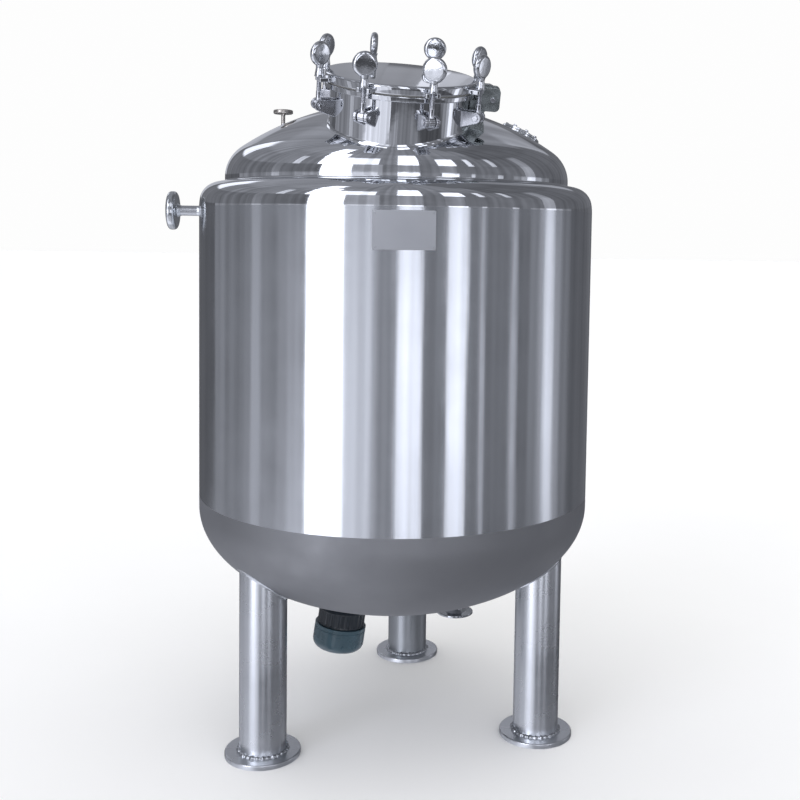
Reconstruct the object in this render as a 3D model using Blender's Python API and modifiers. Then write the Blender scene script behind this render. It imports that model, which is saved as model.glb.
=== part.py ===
"""Jacketed stainless mixing tank on three pipe legs.

The front faces -Y and up is +Z. Every size is in metres. The origin is on the floor under the middle of the
tank's box, which the side nozzle makes wider to the left, so the tank's axis stands a little right of it.
"""

import math

import bmesh
import bpy
from mathutils import Matrix, Vector

# Driving dimensions of the jacket and the vessel
JACKET_R = 0.500
JACKET_WALL = 0.004
SEAM_Z = 0.602
TANGENT_Z = 1.323
SHOULDER_R = 0.063
SHOULDER_LAND = 0.001
VESSEL_R = JACKET_R - SHOULDER_R
VESSEL_WALL = 0.005
SKIRT = 0.0135
CROWN_R = 0.700
KNUCKLE_R = 0.090
HEAD_FLANGE = 0.0294
HEAD_DEPTH = 0.2666
INNER_FLANGE_Z = 0.632
INNER_FLANGE = 0.020
INNER_DEPTH = 0.230
GAP = 0.0003

# Roundness, and how far cutters and roots run past the wall they go through
AROUND = 40
SHOULDER_STEPS = 4
FITTING_STEPS = 24
PIPE_STEPS = 20
BOSS_STEPS = 16
BOLT_STEPS = 12
PIN_STEPS = 8
REACH = 0.060

# Driving dimensions of the manway
MANWAY_OFFSET = 0.279
MANWAY_FORWARD = 16.6
MANWAY_RIGHT = 3.2
NECK_R = 0.161
NECK_WALL = 0.006
NECK_HEIGHT = 0.058
NECK_TRIM = 0.012
FLANGE_R = 0.175
FLANGE_THICK = 0.012
GASKET_THICK = 0.003
GASKET_INSET = 0.002
LID_THICK = 0.020
LID_CROWN = 0.004
LID_CROWN_R = 0.105
LID_RIM = 0.006
MANWAY_STEPS = 32

# Driving dimensions of the swing bolts
BOLT_COUNT = 8
FIRST_BOLT = -23.8
BOLT_CIRCLE_R = 0.194
PIVOT_HEIGHT = 0.0215
ROD_R = 0.006
ROD_ROOT = 0.008
EYE_R = 0.011
EYE_WIDTH = 0.016
PIN_R = 0.005
PIN_SLACK = 0.0004
PIN_END = 0.005
EAR_THICK = 0.008
EAR_GAP = 0.018
EAR_END_R = 0.013
EAR_FOOT = 0.026
TAB_THICK = 0.010
TAB_SLOT = 0.016
TAB_WIDTH = 0.036
TAB_REACH = 0.005
TAB_ROOT = 0.010
TAB_CORNER = 0.006
TAB_NOTCH = -0.001
KNOB_R = 0.0275
KNOB_THICK = 0.016
KNOB_HEIGHT = 0.1125
BOSS_R = 0.0115
BOSS_TOP_R = 0.0085
BOSS_SEAT = 0.0005
ROD_END = 0.083
KNOB_YAWS = (12, -5, 50, 55, 5, 87, 60, 48)

# Driving dimensions of the legs and of what hangs under the tank
LEG_R = 0.057
LEG_WALL = 0.004
LEG_CIRCLE_R = 0.395
LEG_AZIMUTHS = {"front_left": -52.0, "front_right": 68.0, "rear": 173.5}
FOOT_R = 0.0915
FOOT_THICK = 0.012
FOOT_EDGE = 0.002
OUTLET_AT = (0.174, 0.150)
OUTLET_R = 0.021
OUTLET_WALL = 0.003
OUTLET_FLANGE_R = 0.050
OUTLET_FLANGE_THICK = 0.016
OUTLET_LENGTH = 0.130
OUTLET_ROOT = 0.150
MIXER_AT = (-0.126, 0.000)
MOUNT_R = 0.050
MOUNT_DROP = 0.030
MOUNT_RIM = 0.008
MOUNT_RIM_THICK = 0.012
MOTOR_R = 0.0615
MOTOR_LENGTH = 0.050
MOTOR_EDGE = (0.006, 0.010)
COWL_R = 0.067
COWL_LENGTH = 0.066
COWL_ROUND = 0.022

# Driving dimensions of the small fittings
NOZZLE_Z = 1.315
NOZZLE_R = 0.013
NOZZLE_WALL = 0.003
NOZZLE_REACH = 0.085
NOZZLE_FLARE = ((0.0, 0.010), (0.004, 0.004), (0.010, 0.001), (0.010, -0.004))
NOZZLE_FLANGE_R = 0.049
NOZZLE_FLANGE_THICK = 0.022
NOZZLE_EDGE = 0.006
PLATE_SIZE = (0.137, 0.085)
PLATE_Z = 1.272
PLATE_AZIMUTH = 1.7
PLATE_THICK = 0.0015
GLASS_AT = (0.316, 0.050)
GLASS_FLANGE_R = 0.053
GLASS_BASE = 0.009
GLASS_COVER = 0.006
GLASS_PANE_R = 0.038
GLASS_SIGHT_R = 0.033
GLASS_RECESS = 0.005
GLASS_ROOT = 0.014
STUB_AT = (-0.291, -0.035)
STUB_R = 0.0245
STUB_HEIGHT = 0.038
STUB_EDGE = 0.003
STUB_CAP = 0.010
STUB_STEM_R = 0.005
STUB_ROOT = 0.006

# Driving dimensions of the lid hinge; its corner points are (outward from the neck or the lid, height)
HINGE_ANGLE = 88.7
HINGE_R = 0.2135
HINGE_HEIGHT = 0.0545
HINGE_KNUCKLE_R = 0.013
HINGE_PIN_R = 0.006
HINGE_PIN_HALF = 0.026
HINGE_PIN_SLACK = 0.0004
HINGE_END_R = 0.2305
HINGE_LOW = 0.027
HINGE_HIGH = 0.082
HINGE_CORNER_R = 0.011
HINGE_EAR_THICK = 0.008
HINGE_EAR_SHIFT = 0.0155
HINGE_EAR_FOOT = ((0.0, -0.030), (0.0537, -0.030), (0.0377, -0.008), (0.0337, 0.010), (0.0357, HINGE_LOW))
HINGE_EAR_TOP = ((0.0252, HINGE_HIGH), (0.0252, 0.052), (0.0, 0.050))
HINGE_WEB = ((0.0, 0.045), (0.020, 0.045), (0.020, -0.028), (0.0, -0.028))
HINGE_WEB_WIDTH = 0.026
HINGE_ARM_WIDTH = 0.021
HINGE_ARM_ROOT = ((0.0, 0.0135), (0.0, 0.001))
HINGE_ARM_TOP = ((0.049, 0.005), (0.030, 0.0135))

# Colours from the photograph: base colour, metallic and roughness
STEEL_POLISHED = ("steel_polished", (0.62, 0.63, 0.65), 1.0, 0.12)
STEEL_BRUSHED = ("steel_brushed", (0.60, 0.61, 0.63), 1.0, 0.28)
STEEL_SATIN = ("steel_satin", (0.42, 0.42, 0.44), 1.0, 0.50)
STEEL_BARE = ("steel_bare", (0.50, 0.50, 0.50), 1.0, 0.40)
PAINT_DARK = ("paint_dark_blue", (0.03, 0.05, 0.08), 0.0, 0.45)
PAINT_TEAL = ("paint_teal", (0.06, 0.11, 0.14), 0.0, 0.45)
GASKET = ("gasket_rubber", (0.75, 0.75, 0.73), 0.0, 0.60)
GLASS = ("sight_glass", (0.55, 0.60, 0.62), 0.0, 0.05)
PLATE = ("plate_matte", (0.55, 0.55, 0.57), 1.0, 0.55)


def clear_scene():
    for obj in list(bpy.data.objects):
        bpy.data.objects.remove(obj, do_unlink=True)


def new_collection(name):
    collection = bpy.data.collections.new(name)
    bpy.context.scene.collection.children.link(collection)
    return collection


def material(look):
    name, colour, metallic, roughness = look
    made = bpy.data.materials.get(name)
    if made is None:
        made = bpy.data.materials.new(name)
        made.use_nodes = True
        shader = made.node_tree.nodes["Principled BSDF"]
        shader.inputs["Base Color"].default_value = (*colour, 1.0)
        shader.inputs["Metallic"].default_value = metallic
        shader.inputs["Roughness"].default_value = roughness
    return made


def add_part(name, mesh, look, frame=None):
    """Add a mesh to the tank as one named sub-part, placed by its frame."""
    obj = bpy.data.objects.new(name, mesh)
    PARTS.objects.link(obj)
    if frame is not None:
        obj.matrix_world = frame
    mesh.materials.clear()
    mesh.materials.append(material(look))
    return obj


def add_guide(name, mesh, frame=None):
    """Add a mesh that only cuts other pieces or is joined to them."""
    obj = bpy.data.objects.new(name, mesh)
    GUIDES.objects.link(obj)
    if frame is not None:
        obj.matrix_world = frame
    obj.hide_render = True
    obj.display_type = "WIRE"
    return obj


def evaluated_mesh(obj):
    bpy.context.view_layer.update()
    graph = bpy.context.evaluated_depsgraph_get()
    return bpy.data.meshes.new_from_object(obj.evaluated_get(graph))


def smooth(mesh, angle=35.0):
    mesh.shade_smooth()
    mesh.set_sharp_from_angle(angle=math.radians(angle))
    return mesh


def turned_mesh(name, profile, steps=AROUND, closed=False, wall=0.0):
    """Spin a (radius, height) profile about Z; a wall makes the open surface a shell of that thickness."""
    outline = bpy.data.meshes.new(name)
    edges = [(i, i + 1) for i in range(len(profile) - 1)]
    if closed:
        edges.append((len(profile) - 1, 0))
    outline.from_pydata([(r, 0.0, z) for r, z in profile], edges, [])
    obj = add_guide(name + "_outline", outline)
    spin = obj.modifiers.new("Spin", "SCREW")
    spin.steps = steps
    spin.render_steps = steps
    spin.use_merge_vertices = True
    spin.merge_threshold = 0.00001
    if wall:
        shell = obj.modifiers.new("Wall", "SOLIDIFY")
        shell.thickness = wall
        shell.offset = -1.0
        shell.use_even_offset = True
    mesh = evaluated_mesh(obj)
    bpy.data.objects.remove(obj)
    return smooth(mesh)


def plate_mesh(name, outline, thickness, resolution=1):
    """Extrude a flat outline in local XY to a plate centred on local Z."""
    curve = bpy.data.curves.new(name, "CURVE")
    curve.dimensions = "2D"
    curve.fill_mode = "BOTH"
    curve.extrude = thickness / 2
    curve.resolution_u = resolution
    spline = curve.splines.new("POLY")
    spline.points.add(len(outline) - 1)
    for point, (x, y) in zip(spline.points, outline):
        point.co = (x, y, 0.0, 1.0)
    spline.use_cyclic_u = True
    obj = bpy.data.objects.new(name, curve)
    GUIDES.objects.link(obj)
    mesh = evaluated_mesh(obj)
    bpy.data.objects.remove(obj)
    weld = bmesh.new()
    weld.from_mesh(mesh)
    bmesh.ops.remove_doubles(weld, verts=weld.verts, dist=0.00001)
    weld.to_mesh(mesh)
    weld.free()
    return mesh


def rod_mesh(name, radius, low, high, steps=BOLT_STEPS):
    """A plain cylinder about local Z between two heights."""
    mesh = bpy.data.meshes.new(name)
    shape = bmesh.new()
    place = Matrix.Translation((0.0, 0.0, (low + high) / 2))
    bmesh.ops.create_cone(shape, cap_ends=True, segments=steps, radius1=radius, radius2=radius,
                          depth=high - low, matrix=place)
    shape.to_mesh(mesh)
    shape.free()
    return smooth(mesh)


def boolean(obj, other, operation):
    step = obj.modifiers.new(operation.title(), "BOOLEAN")
    step.operation = operation
    step.solver = "EXACT"
    step.object = other
    return step


def joined_mesh(name, pieces):
    """One mesh from (mesh, frame) pieces that do not touch each other."""
    joined = bmesh.new()
    for mesh, frame in pieces:
        copy = mesh.copy()
        copy.transform(frame)
        joined.from_mesh(copy)
        bpy.data.meshes.remove(copy)
    mesh = bpy.data.meshes.new(name)
    joined.to_mesh(mesh)
    joined.free()
    return mesh


def arc(centre, radius, start, end, steps):
    """Points of an arc in degrees, both ends included."""
    points = []
    for i in range(steps + 1):
        angle = math.radians(start + (end - start) * i / steps)
        points.append((centre[0] + radius * math.cos(angle), centre[1] + radius * math.sin(angle)))
    return points


def around_tank(azimuth, radius, z=0.0):
    """A point at an azimuth in degrees from the front, positive to the right."""
    angle = math.radians(azimuth)
    return Vector((radius * math.sin(angle), -radius * math.cos(angle), z))


def crown_centre_z():
    knuckle_z = TANGENT_Z + SHOULDER_R + SKIRT
    drop = math.sqrt((CROWN_R - KNUCKLE_R) ** 2 - (VESSEL_R - KNUCKLE_R) ** 2)
    return knuckle_z - drop


def dome_frame(x, y):
    """Frame on the crown of the top head with its Z along the surface normal."""
    height = math.sqrt(CROWN_R ** 2 - x * x - y * y)
    normal = Vector((x, y, height)).normalized()
    turn = Vector((0.0, 0.0, 1.0)).rotation_difference(normal)
    place = Matrix.Translation((x, y, crown_centre_z() + height))
    return place @ turn.to_matrix().to_4x4()


def leaning_frame(x, y, forward, right):
    """Frame on the crown of the top head with its Z leaning by these angles instead of along the normal."""
    lean_y = math.sin(math.radians(forward))
    lean_x = math.sin(math.radians(right))
    axis = Vector((lean_x, -lean_y, math.sqrt(1.0 - lean_x ** 2 - lean_y ** 2)))
    turn = Vector((0.0, 0.0, 1.0)).rotation_difference(axis)
    return Matrix.Translation(dome_frame(x, y).translation) @ turn.to_matrix().to_4x4()


def bottom_frame(x, y):
    """Frame on the bottom head with its Z pointing out of the tank along the surface normal."""
    rise = math.sqrt(1.0 - (x * x + y * y) / JACKET_R ** 2)
    z = SEAM_Z - HEAD_FLANGE - HEAD_DEPTH * rise
    normal = Vector((x * HEAD_DEPTH / JACKET_R ** 2, y * HEAD_DEPTH / JACKET_R ** 2, -rise)).normalized()
    turn = Vector((0.0, 0.0, -1.0)).rotation_difference(normal)
    flip = Matrix.Rotation(math.pi, 4, "X")
    return Matrix.Translation((x, y, z)) @ turn.to_matrix().to_4x4() @ flip


def bottom_profile(radius, flange_z, depth, grow=0.0, steps=6):
    """Lower half of an ellipsoidal head, from its rim down to its lowest point."""
    points = []
    for i in range(steps + 1):
        angle = math.radians(90.0 * i / steps)
        points.append(((radius + grow) * math.cos(angle), flange_z - (depth + grow) * math.sin(angle)))
    points[-1] = (0.0, points[-1][1])
    return points


def top_profile(grow=0.0, knuckle_steps=4, crown_steps=3):
    """Torispherical top head from its highest point out and down to the knuckle's end."""
    knuckle_z = TANGENT_Z + SHOULDER_R + SKIRT
    crown_angle = math.degrees(math.asin((VESSEL_R - KNUCKLE_R) / (CROWN_R - KNUCKLE_R)))
    crown = arc((0.0, crown_centre_z()), CROWN_R + grow, 90.0, 90.0 - crown_angle, crown_steps)
    crown[0] = (0.0, crown[0][1])
    knuckle = arc((VESSEL_R - KNUCKLE_R, knuckle_z), KNUCKLE_R + grow, 90.0 - crown_angle, 0.0, knuckle_steps)
    return crown + knuckle[1:]


def manway_frame():
    return leaning_frame(0.0, -MANWAY_OFFSET, MANWAY_FORWARD, MANWAY_RIGHT)


def manway_polar(angle, radius=0.0, height=0.0):
    """Frame around the manway: X runs outward at this angle from the front, Z along the manway's axis."""
    turn = Matrix.Rotation(math.radians(angle - 90.0), 4, "Z")
    return manway_frame() @ turn @ Matrix.Translation((radius, 0.0, height))


def make_jacket():
    """Outer jacket cylinder with the rounded shoulder rolled onto the vessel."""
    shoulder = arc((VESSEL_R, TANGENT_Z), SHOULDER_R, 90.0, 0.0, SHOULDER_STEPS)
    shoulder[0] = (VESSEL_R + SHOULDER_LAND, shoulder[0][1])
    mesh = turned_mesh("jacket_shell", shoulder + [(JACKET_R, SEAM_Z + GAP)], wall=JACKET_WALL)
    shell = add_part("jacket_shell", mesh, STEEL_BRUSHED)
    bore = rod_mesh("nozzle_hole", NOZZLE_R - NOZZLE_WALL, JACKET_R - REACH, JACKET_R + REACH, BOSS_STEPS)
    boolean(shell, add_guide("nozzle_hole", bore, side_frame()), "DIFFERENCE")


def make_bottom_head():
    """Dished lower end of the jacket, with holes for the outlet and the mixer."""
    rim = SEAM_Z - HEAD_FLANGE
    profile = [(JACKET_R, SEAM_Z)] + bottom_profile(JACKET_R, rim, HEAD_DEPTH)
    mesh = turned_mesh("bottom_head", profile, wall=JACKET_WALL)
    head = add_part("bottom_head", mesh, STEEL_SATIN)
    holes = (("outlet_hole", OUTLET_R, outlet_frame()), ("mixer_hole", MOUNT_R, mixer_frame()))
    for name, radius, frame in holes:
        cutter = rod_mesh(name, radius + GAP, -REACH, REACH, FITTING_STEPS)
        boolean(head, add_guide(name, cutter, frame), "DIFFERENCE")


def make_vessel():
    """Inner vessel: its wall and its dished bottom, both inside the jacket."""
    top = TANGENT_Z + SHOULDER_R
    wall = [(VESSEL_R, top - GAP), (VESSEL_R, INNER_FLANGE_Z + GAP)]
    add_part("vessel_wall", turned_mesh("vessel_wall", wall, wall=VESSEL_WALL), STEEL_SATIN)
    rim = INNER_FLANGE_Z - INNER_FLANGE
    profile = [(VESSEL_R, INNER_FLANGE_Z)] + bottom_profile(VESSEL_R, rim, INNER_DEPTH)
    floor = add_part("vessel_bottom", turned_mesh("vessel_bottom", profile, wall=VESSEL_WALL), STEEL_SATIN)
    bore = rod_mesh("outlet_bore", OUTLET_R - OUTLET_WALL, -OUTLET_ROOT, 0.0, PIPE_STEPS)
    boolean(floor, add_guide("outlet_bore", bore, outlet_frame()), "DIFFERENCE")


def vessel_solid():
    """Solid space of the inner vessel's bottom, grown by the gap, which cuts what reaches it."""
    rim = INNER_FLANGE_Z - INNER_FLANGE
    profile = [(0.0, INNER_FLANGE_Z), (VESSEL_R + GAP, INNER_FLANGE_Z)]
    profile += bottom_profile(VESSEL_R, rim, INNER_DEPTH, GAP)
    return add_guide("vessel_space", turned_mesh("vessel_space", profile))


def jacket_solid():
    """Solid space of the jacket's bottom head and lower wall, grown by the gap."""
    rim = SEAM_Z - HEAD_FLANGE
    profile = [(0.0, SEAM_Z + REACH), (JACKET_R + GAP, SEAM_Z + REACH)]
    profile += bottom_profile(JACKET_R, rim, HEAD_DEPTH, GAP)
    return add_guide("jacket_space", turned_mesh("jacket_space", profile))


def dome_solid(name, grow):
    """Solid space of the top head, grown or shrunk, which cuts what stands on it or reaches into it."""
    profile = top_profile(grow) + [(VESSEL_R + grow, TANGENT_Z), (0.0, TANGENT_Z)]
    return add_guide(name, turned_mesh(name, profile))


def make_top_head():
    """Dished top of the vessel with the manway hole and the sight glass hole."""
    profile = top_profile() + [(VESSEL_R, TANGENT_Z + SHOULDER_R)]
    head = add_part("top_head", turned_mesh("top_head", profile, wall=VESSEL_WALL), STEEL_POLISHED)
    hole = rod_mesh("manway_hole", NECK_R + GAP, -2 * REACH, REACH, MANWAY_STEPS)
    boolean(head, add_guide("manway_hole", hole, manway_frame()), "DIFFERENCE")
    sight = rod_mesh("sight_hole", GLASS_SIGHT_R, -REACH, REACH, FITTING_STEPS)
    boolean(head, add_guide("sight_hole", sight, dome_frame(*GLASS_AT)), "DIFFERENCE")


def ear_outline():
    """Side view of one lug ear in (outward, up) with its round end about the pin."""
    inner = NECK_R - NECK_WALL / 2 - BOLT_CIRCLE_R
    return [(inner, EAR_END_R)] + arc((0.0, 0.0), EAR_END_R, 90.0, -60.0, 4) + [(inner, -EAR_FOOT)]


def upright(frame):
    """Turn a plate outline's XY into the frame's XZ."""
    return frame @ Matrix.Rotation(math.pi / 2, 4, "X")


def make_neck():
    """Manway neck with its flange, eight pairs of lug ears and their pins, welded to one piece."""
    top = NECK_HEIGHT + FLANGE_THICK
    bore = NECK_R - NECK_WALL
    root = -2 * REACH
    profile = [(FLANGE_R, top), (FLANGE_R, NECK_HEIGHT), (NECK_R, NECK_HEIGHT), (NECK_R, root),
               (bore, root), (bore, top)]
    mesh = turned_mesh("manway_neck", profile, MANWAY_STEPS, closed=True)
    neck = add_part("manway_neck", mesh, STEEL_POLISHED, manway_frame())
    boolean(neck, dome_solid("neck_trim", -VESSEL_WALL - NECK_TRIM), "DIFFERENCE")
    ear = plate_mesh("lug_ear", ear_outline(), EAR_THICK)
    pin_end = EAR_GAP / 2 + EAR_THICK + PIN_END
    pin = rod_mesh("lug_pin", PIN_R, -pin_end, pin_end, PIN_STEPS)
    ears = []
    pins = []
    inverse = manway_frame().inverted()
    for angle in bolt_angles():
        pivot = inverse @ manway_polar(angle, BOLT_CIRCLE_R, PIVOT_HEIGHT)
        for side in (-1, 1):
            shift = Matrix.Translation((0.0, side * (EAR_GAP + EAR_THICK) / 2, 0.0))
            ears.append((ear, upright(pivot @ shift)))
        pins.append((pin, upright(pivot)))
    frame = manway_frame()
    lugs = add_guide("lug_ears", joined_mesh("lug_ears", ears), frame)
    boolean(lugs, DOME, "DIFFERENCE")
    boolean(neck, lugs, "UNION")
    boolean(neck, add_guide("lug_pins", joined_mesh("lug_pins", pins), frame), "UNION")


def bolt_angles():
    return [FIRST_BOLT + 360.0 / BOLT_COUNT * i for i in range(BOLT_COUNT)]


def lid_base():
    return NECK_HEIGHT + FLANGE_THICK + GASKET_THICK + 2 * GAP


def make_lid():
    """Flat round lid with eight slotted tabs, and the gasket that it closes on."""
    frame = manway_frame()
    seat = NECK_HEIGHT + FLANGE_THICK + GAP
    bore = NECK_R - NECK_WALL
    edge = FLANGE_R - GASKET_INSET
    ring = [(edge, seat + GASKET_THICK), (edge, seat), (bore, seat), (bore, seat + GASKET_THICK)]
    add_part("manway_gasket", turned_mesh("manway_gasket", ring, MANWAY_STEPS, closed=True), GASKET, frame)
    base = lid_base()
    top = base + LID_THICK
    profile = [(0.0, top + LID_CROWN), (LID_CROWN_R, top + LID_CROWN / 2), (FLANGE_R - LID_RIM, top)]
    profile += arc((FLANGE_R - LID_RIM, top - LID_RIM), LID_RIM, 90.0, 0.0, 3)[1:]
    profile += [(FLANGE_R, base), (0.0, base)]
    lid = add_part("manway_lid", turned_mesh("manway_lid", profile, MANWAY_STEPS), STEEL_POLISHED, frame)
    tab = plate_mesh("lid_tab", tab_outline(), TAB_THICK)
    inverse = frame.inverted()
    height = base + TAB_THICK / 2
    tabs = [(tab, inverse @ manway_polar(angle, BOLT_CIRCLE_R, height)) for angle in bolt_angles()]
    boolean(lid, add_guide("lid_tabs", joined_mesh("lid_tabs", tabs), frame), "UNION")


def tab_outline():
    """Top view of a forked tab in (outward, sideways), open outward for the rod."""
    root = FLANGE_R - TAB_ROOT - BOLT_CIRCLE_R
    half = TAB_WIDTH / 2
    slot = TAB_SLOT / 2
    finger = [(root, -half), (TAB_REACH - TAB_CORNER, -half), (TAB_REACH, TAB_CORNER - half),
              (TAB_REACH, -slot)]
    notch = arc((TAB_NOTCH, 0.0), slot, 270.0, 90.0, 4)
    return finger + notch + [(x, -y) for x, y in reversed(finger)]


def swing_bolt_mesh():
    """Rod with its eye about the lug pin; the origin is on the pin's axis."""
    eye = turned_mesh("bolt_eye", [(EYE_R, EYE_WIDTH / 2), (EYE_R, -EYE_WIDTH / 2),
                                   (PIN_R + PIN_SLACK, -EYE_WIDTH / 2), (PIN_R + PIN_SLACK, EYE_WIDTH / 2)],
                      BOLT_STEPS, closed=True)
    body = add_guide("bolt_eye", eye, Matrix.Rotation(math.pi / 2, 4, "X"))
    rod = rod_mesh("bolt_rod", ROD_R, ROD_ROOT, ROD_END)
    boolean(body, add_guide("bolt_rod", rod), "UNION")
    mesh = evaluated_mesh(body)
    mesh.transform(body.matrix_world)
    return smooth(mesh)


def boss_base():
    """Height of the knob nut's seat above the pivot."""
    return lid_base() + TAB_THICK + BOSS_SEAT - PIVOT_HEIGHT


def knob_nut_mesh(yaw):
    """Knob nut: a thick round disc with a full round edge, standing on a tapered boss with the rod's hole."""
    edge = KNOB_THICK / 2
    rounded = arc((KNOB_R - edge, 0.0), edge, 90.0, -90.0, 6)
    disc = turned_mesh("knob_disc", [(0.0, edge)] + rounded + [(0.0, -edge)], PIPE_STEPS)
    lift = Matrix.Translation((0.0, 0.0, KNOB_HEIGHT)) @ Matrix.Rotation(math.radians(yaw), 4, "Z")
    body = add_guide("knob_disc", disc, lift @ Matrix.Rotation(math.pi / 2, 4, "X"))
    top = KNOB_HEIGHT - KNOB_R + edge
    taper = [(0.0, top), (BOSS_TOP_R, top), (BOSS_R, boss_base() + edge), (BOSS_R, boss_base()),
             (0.0, boss_base())]
    boss = turned_mesh("nut_boss", taper, BOSS_STEPS)
    boolean(body, add_guide("nut_boss", boss), "UNION")
    hole = rod_mesh("nut_hole", ROD_R + GAP, boss_base() - BOSS_R, ROD_END + GAP)
    boolean(body, add_guide("nut_hole", hole), "DIFFERENCE")
    mesh = evaluated_mesh(body)
    mesh.transform(body.matrix_world)
    return smooth(mesh)


def make_swing_bolts():
    """Eight swing bolts, each with its knob nut, standing on the lug pins."""
    bolt = swing_bolt_mesh()
    for number, angle in enumerate(bolt_angles(), start=1):
        pivot = manway_polar(angle, BOLT_CIRCLE_R, PIVOT_HEIGHT)
        add_part(f"swing_bolt_{number}", bolt, STEEL_BRUSHED, pivot)
        nut = knob_nut_mesh(KNOB_YAWS[number - 1] - angle + 90.0)
        add_part(f"knob_nut_{number}", nut, STEEL_POLISHED, pivot)


def make_hinge():
    """Lid hinge: a bracket of two broad ears on the neck with its pin, and the lid's arm between them."""
    frame = manway_polar(HINGE_ANGLE)
    neck = NECK_R + GAP
    corner = HINGE_END_R - HINGE_CORNER_R
    outline = [(neck + x, z) for x, z in HINGE_EAR_FOOT]
    outline += arc((corner, HINGE_LOW + HINGE_CORNER_R), HINGE_CORNER_R, -90.0, 0.0, 4)
    outline += arc((corner, HINGE_HIGH - HINGE_CORNER_R), HINGE_CORNER_R, 0.0, 90.0, 4)
    outline += [(neck + x, z) for x, z in HINGE_EAR_TOP]
    ears = plate_mesh("hinge_ear", outline, HINGE_EAR_THICK)
    turn = Matrix.Rotation(math.pi / 2, 4, "X")
    placed = [(ears, Matrix.Translation((0.0, side * HINGE_EAR_SHIFT, 0.0)) @ turn) for side in (-1, 1)]
    bracket = add_part("hinge_bracket", joined_mesh("hinge_bracket", placed), STEEL_BRUSHED, frame)
    web = plate_mesh("hinge_web", [(neck + x, z) for x, z in HINGE_WEB], HINGE_WEB_WIDTH)
    boolean(bracket, add_guide("hinge_web", web, upright(frame)), "UNION")
    pin = rod_mesh("hinge_pin", HINGE_PIN_R, -HINGE_PIN_HALF, HINGE_PIN_HALF)
    at_pin = upright(manway_polar(HINGE_ANGLE, HINGE_R, HINGE_HEIGHT))
    boolean(bracket, add_guide("hinge_pin", pin, at_pin), "UNION")
    boolean(bracket, DOME, "DIFFERENCE")
    edge = FLANGE_R + GAP
    arm = [(edge + x, lid_base() + z) for x, z in HINGE_ARM_ROOT]
    arm += arc((HINGE_R, HINGE_HEIGHT), HINGE_KNUCKLE_R, 200.0, 380.0, 8)
    arm += [(edge + x, lid_base() + z) for x, z in HINGE_ARM_TOP]
    lever_mesh = plate_mesh("hinge_arm", arm, HINGE_ARM_WIDTH)
    lever = add_part("hinge_arm", lever_mesh, STEEL_BRUSHED, upright(frame))
    hole = rod_mesh("arm_hole", HINGE_PIN_R + HINGE_PIN_SLACK, -HINGE_ARM_WIDTH, HINGE_ARM_WIDTH)
    boolean(lever, add_guide("arm_hole", hole, at_pin), "DIFFERENCE")


def make_sight_glass():
    """Round sight glass: weld ring, pane and clamping ring."""
    frame = dome_frame(*GLASS_AT)
    base_top = GLASS_BASE
    shelf = base_top - GLASS_RECESS
    base = [(GLASS_FLANGE_R, base_top), (GLASS_FLANGE_R, -GLASS_ROOT), (GLASS_SIGHT_R, -GLASS_ROOT),
            (GLASS_SIGHT_R, shelf), (GLASS_PANE_R + GAP, shelf), (GLASS_PANE_R + GAP, base_top)]
    base_mesh = turned_mesh("sight_glass_base", base, FITTING_STEPS, closed=True)
    ring = add_part("sight_glass_base", base_mesh, STEEL_POLISHED, frame)
    boolean(ring, DOME, "DIFFERENCE")
    low = shelf + GAP
    pane = [(0.0, base_top), (GLASS_PANE_R, base_top), (GLASS_PANE_R, low), (0.0, low)]
    add_part("sight_glass_pane", turned_mesh("sight_glass_pane", pane, FITTING_STEPS), GLASS, frame)
    seat = base_top + GAP
    cover = [(GLASS_FLANGE_R, seat + GLASS_COVER), (GLASS_FLANGE_R, seat), (GLASS_SIGHT_R, seat),
             (GLASS_SIGHT_R, seat + GLASS_COVER)]
    cover_mesh = turned_mesh("sight_glass_ring", cover, FITTING_STEPS, closed=True)
    add_part("sight_glass_ring", cover_mesh, STEEL_POLISHED, frame)


def make_stub():
    """Short capped stub on the left of the top head."""
    top = STUB_HEIGHT
    low = top - STUB_CAP
    profile = [(0.0, top), (STUB_R - STUB_EDGE, top), (STUB_R, top - STUB_EDGE), (STUB_R, low + STUB_EDGE),
               (STUB_R - STUB_EDGE, low), (STUB_STEM_R, low), (STUB_STEM_R, -STUB_ROOT), (0.0, -STUB_ROOT)]
    frame = leaning_frame(*STUB_AT, 0.0, 0.0)
    stub = add_part("vent_stub", turned_mesh("vent_stub", profile, FITTING_STEPS), STEEL_BARE, frame)
    boolean(stub, DOME, "DIFFERENCE")


def side_frame():
    """Frame on the tank's axis at the side nozzle, with Z pointing out to the left."""
    return Matrix.Translation((0.0, 0.0, NOZZLE_Z)) @ Matrix.Rotation(-math.pi / 2, 4, "Y")


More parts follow.
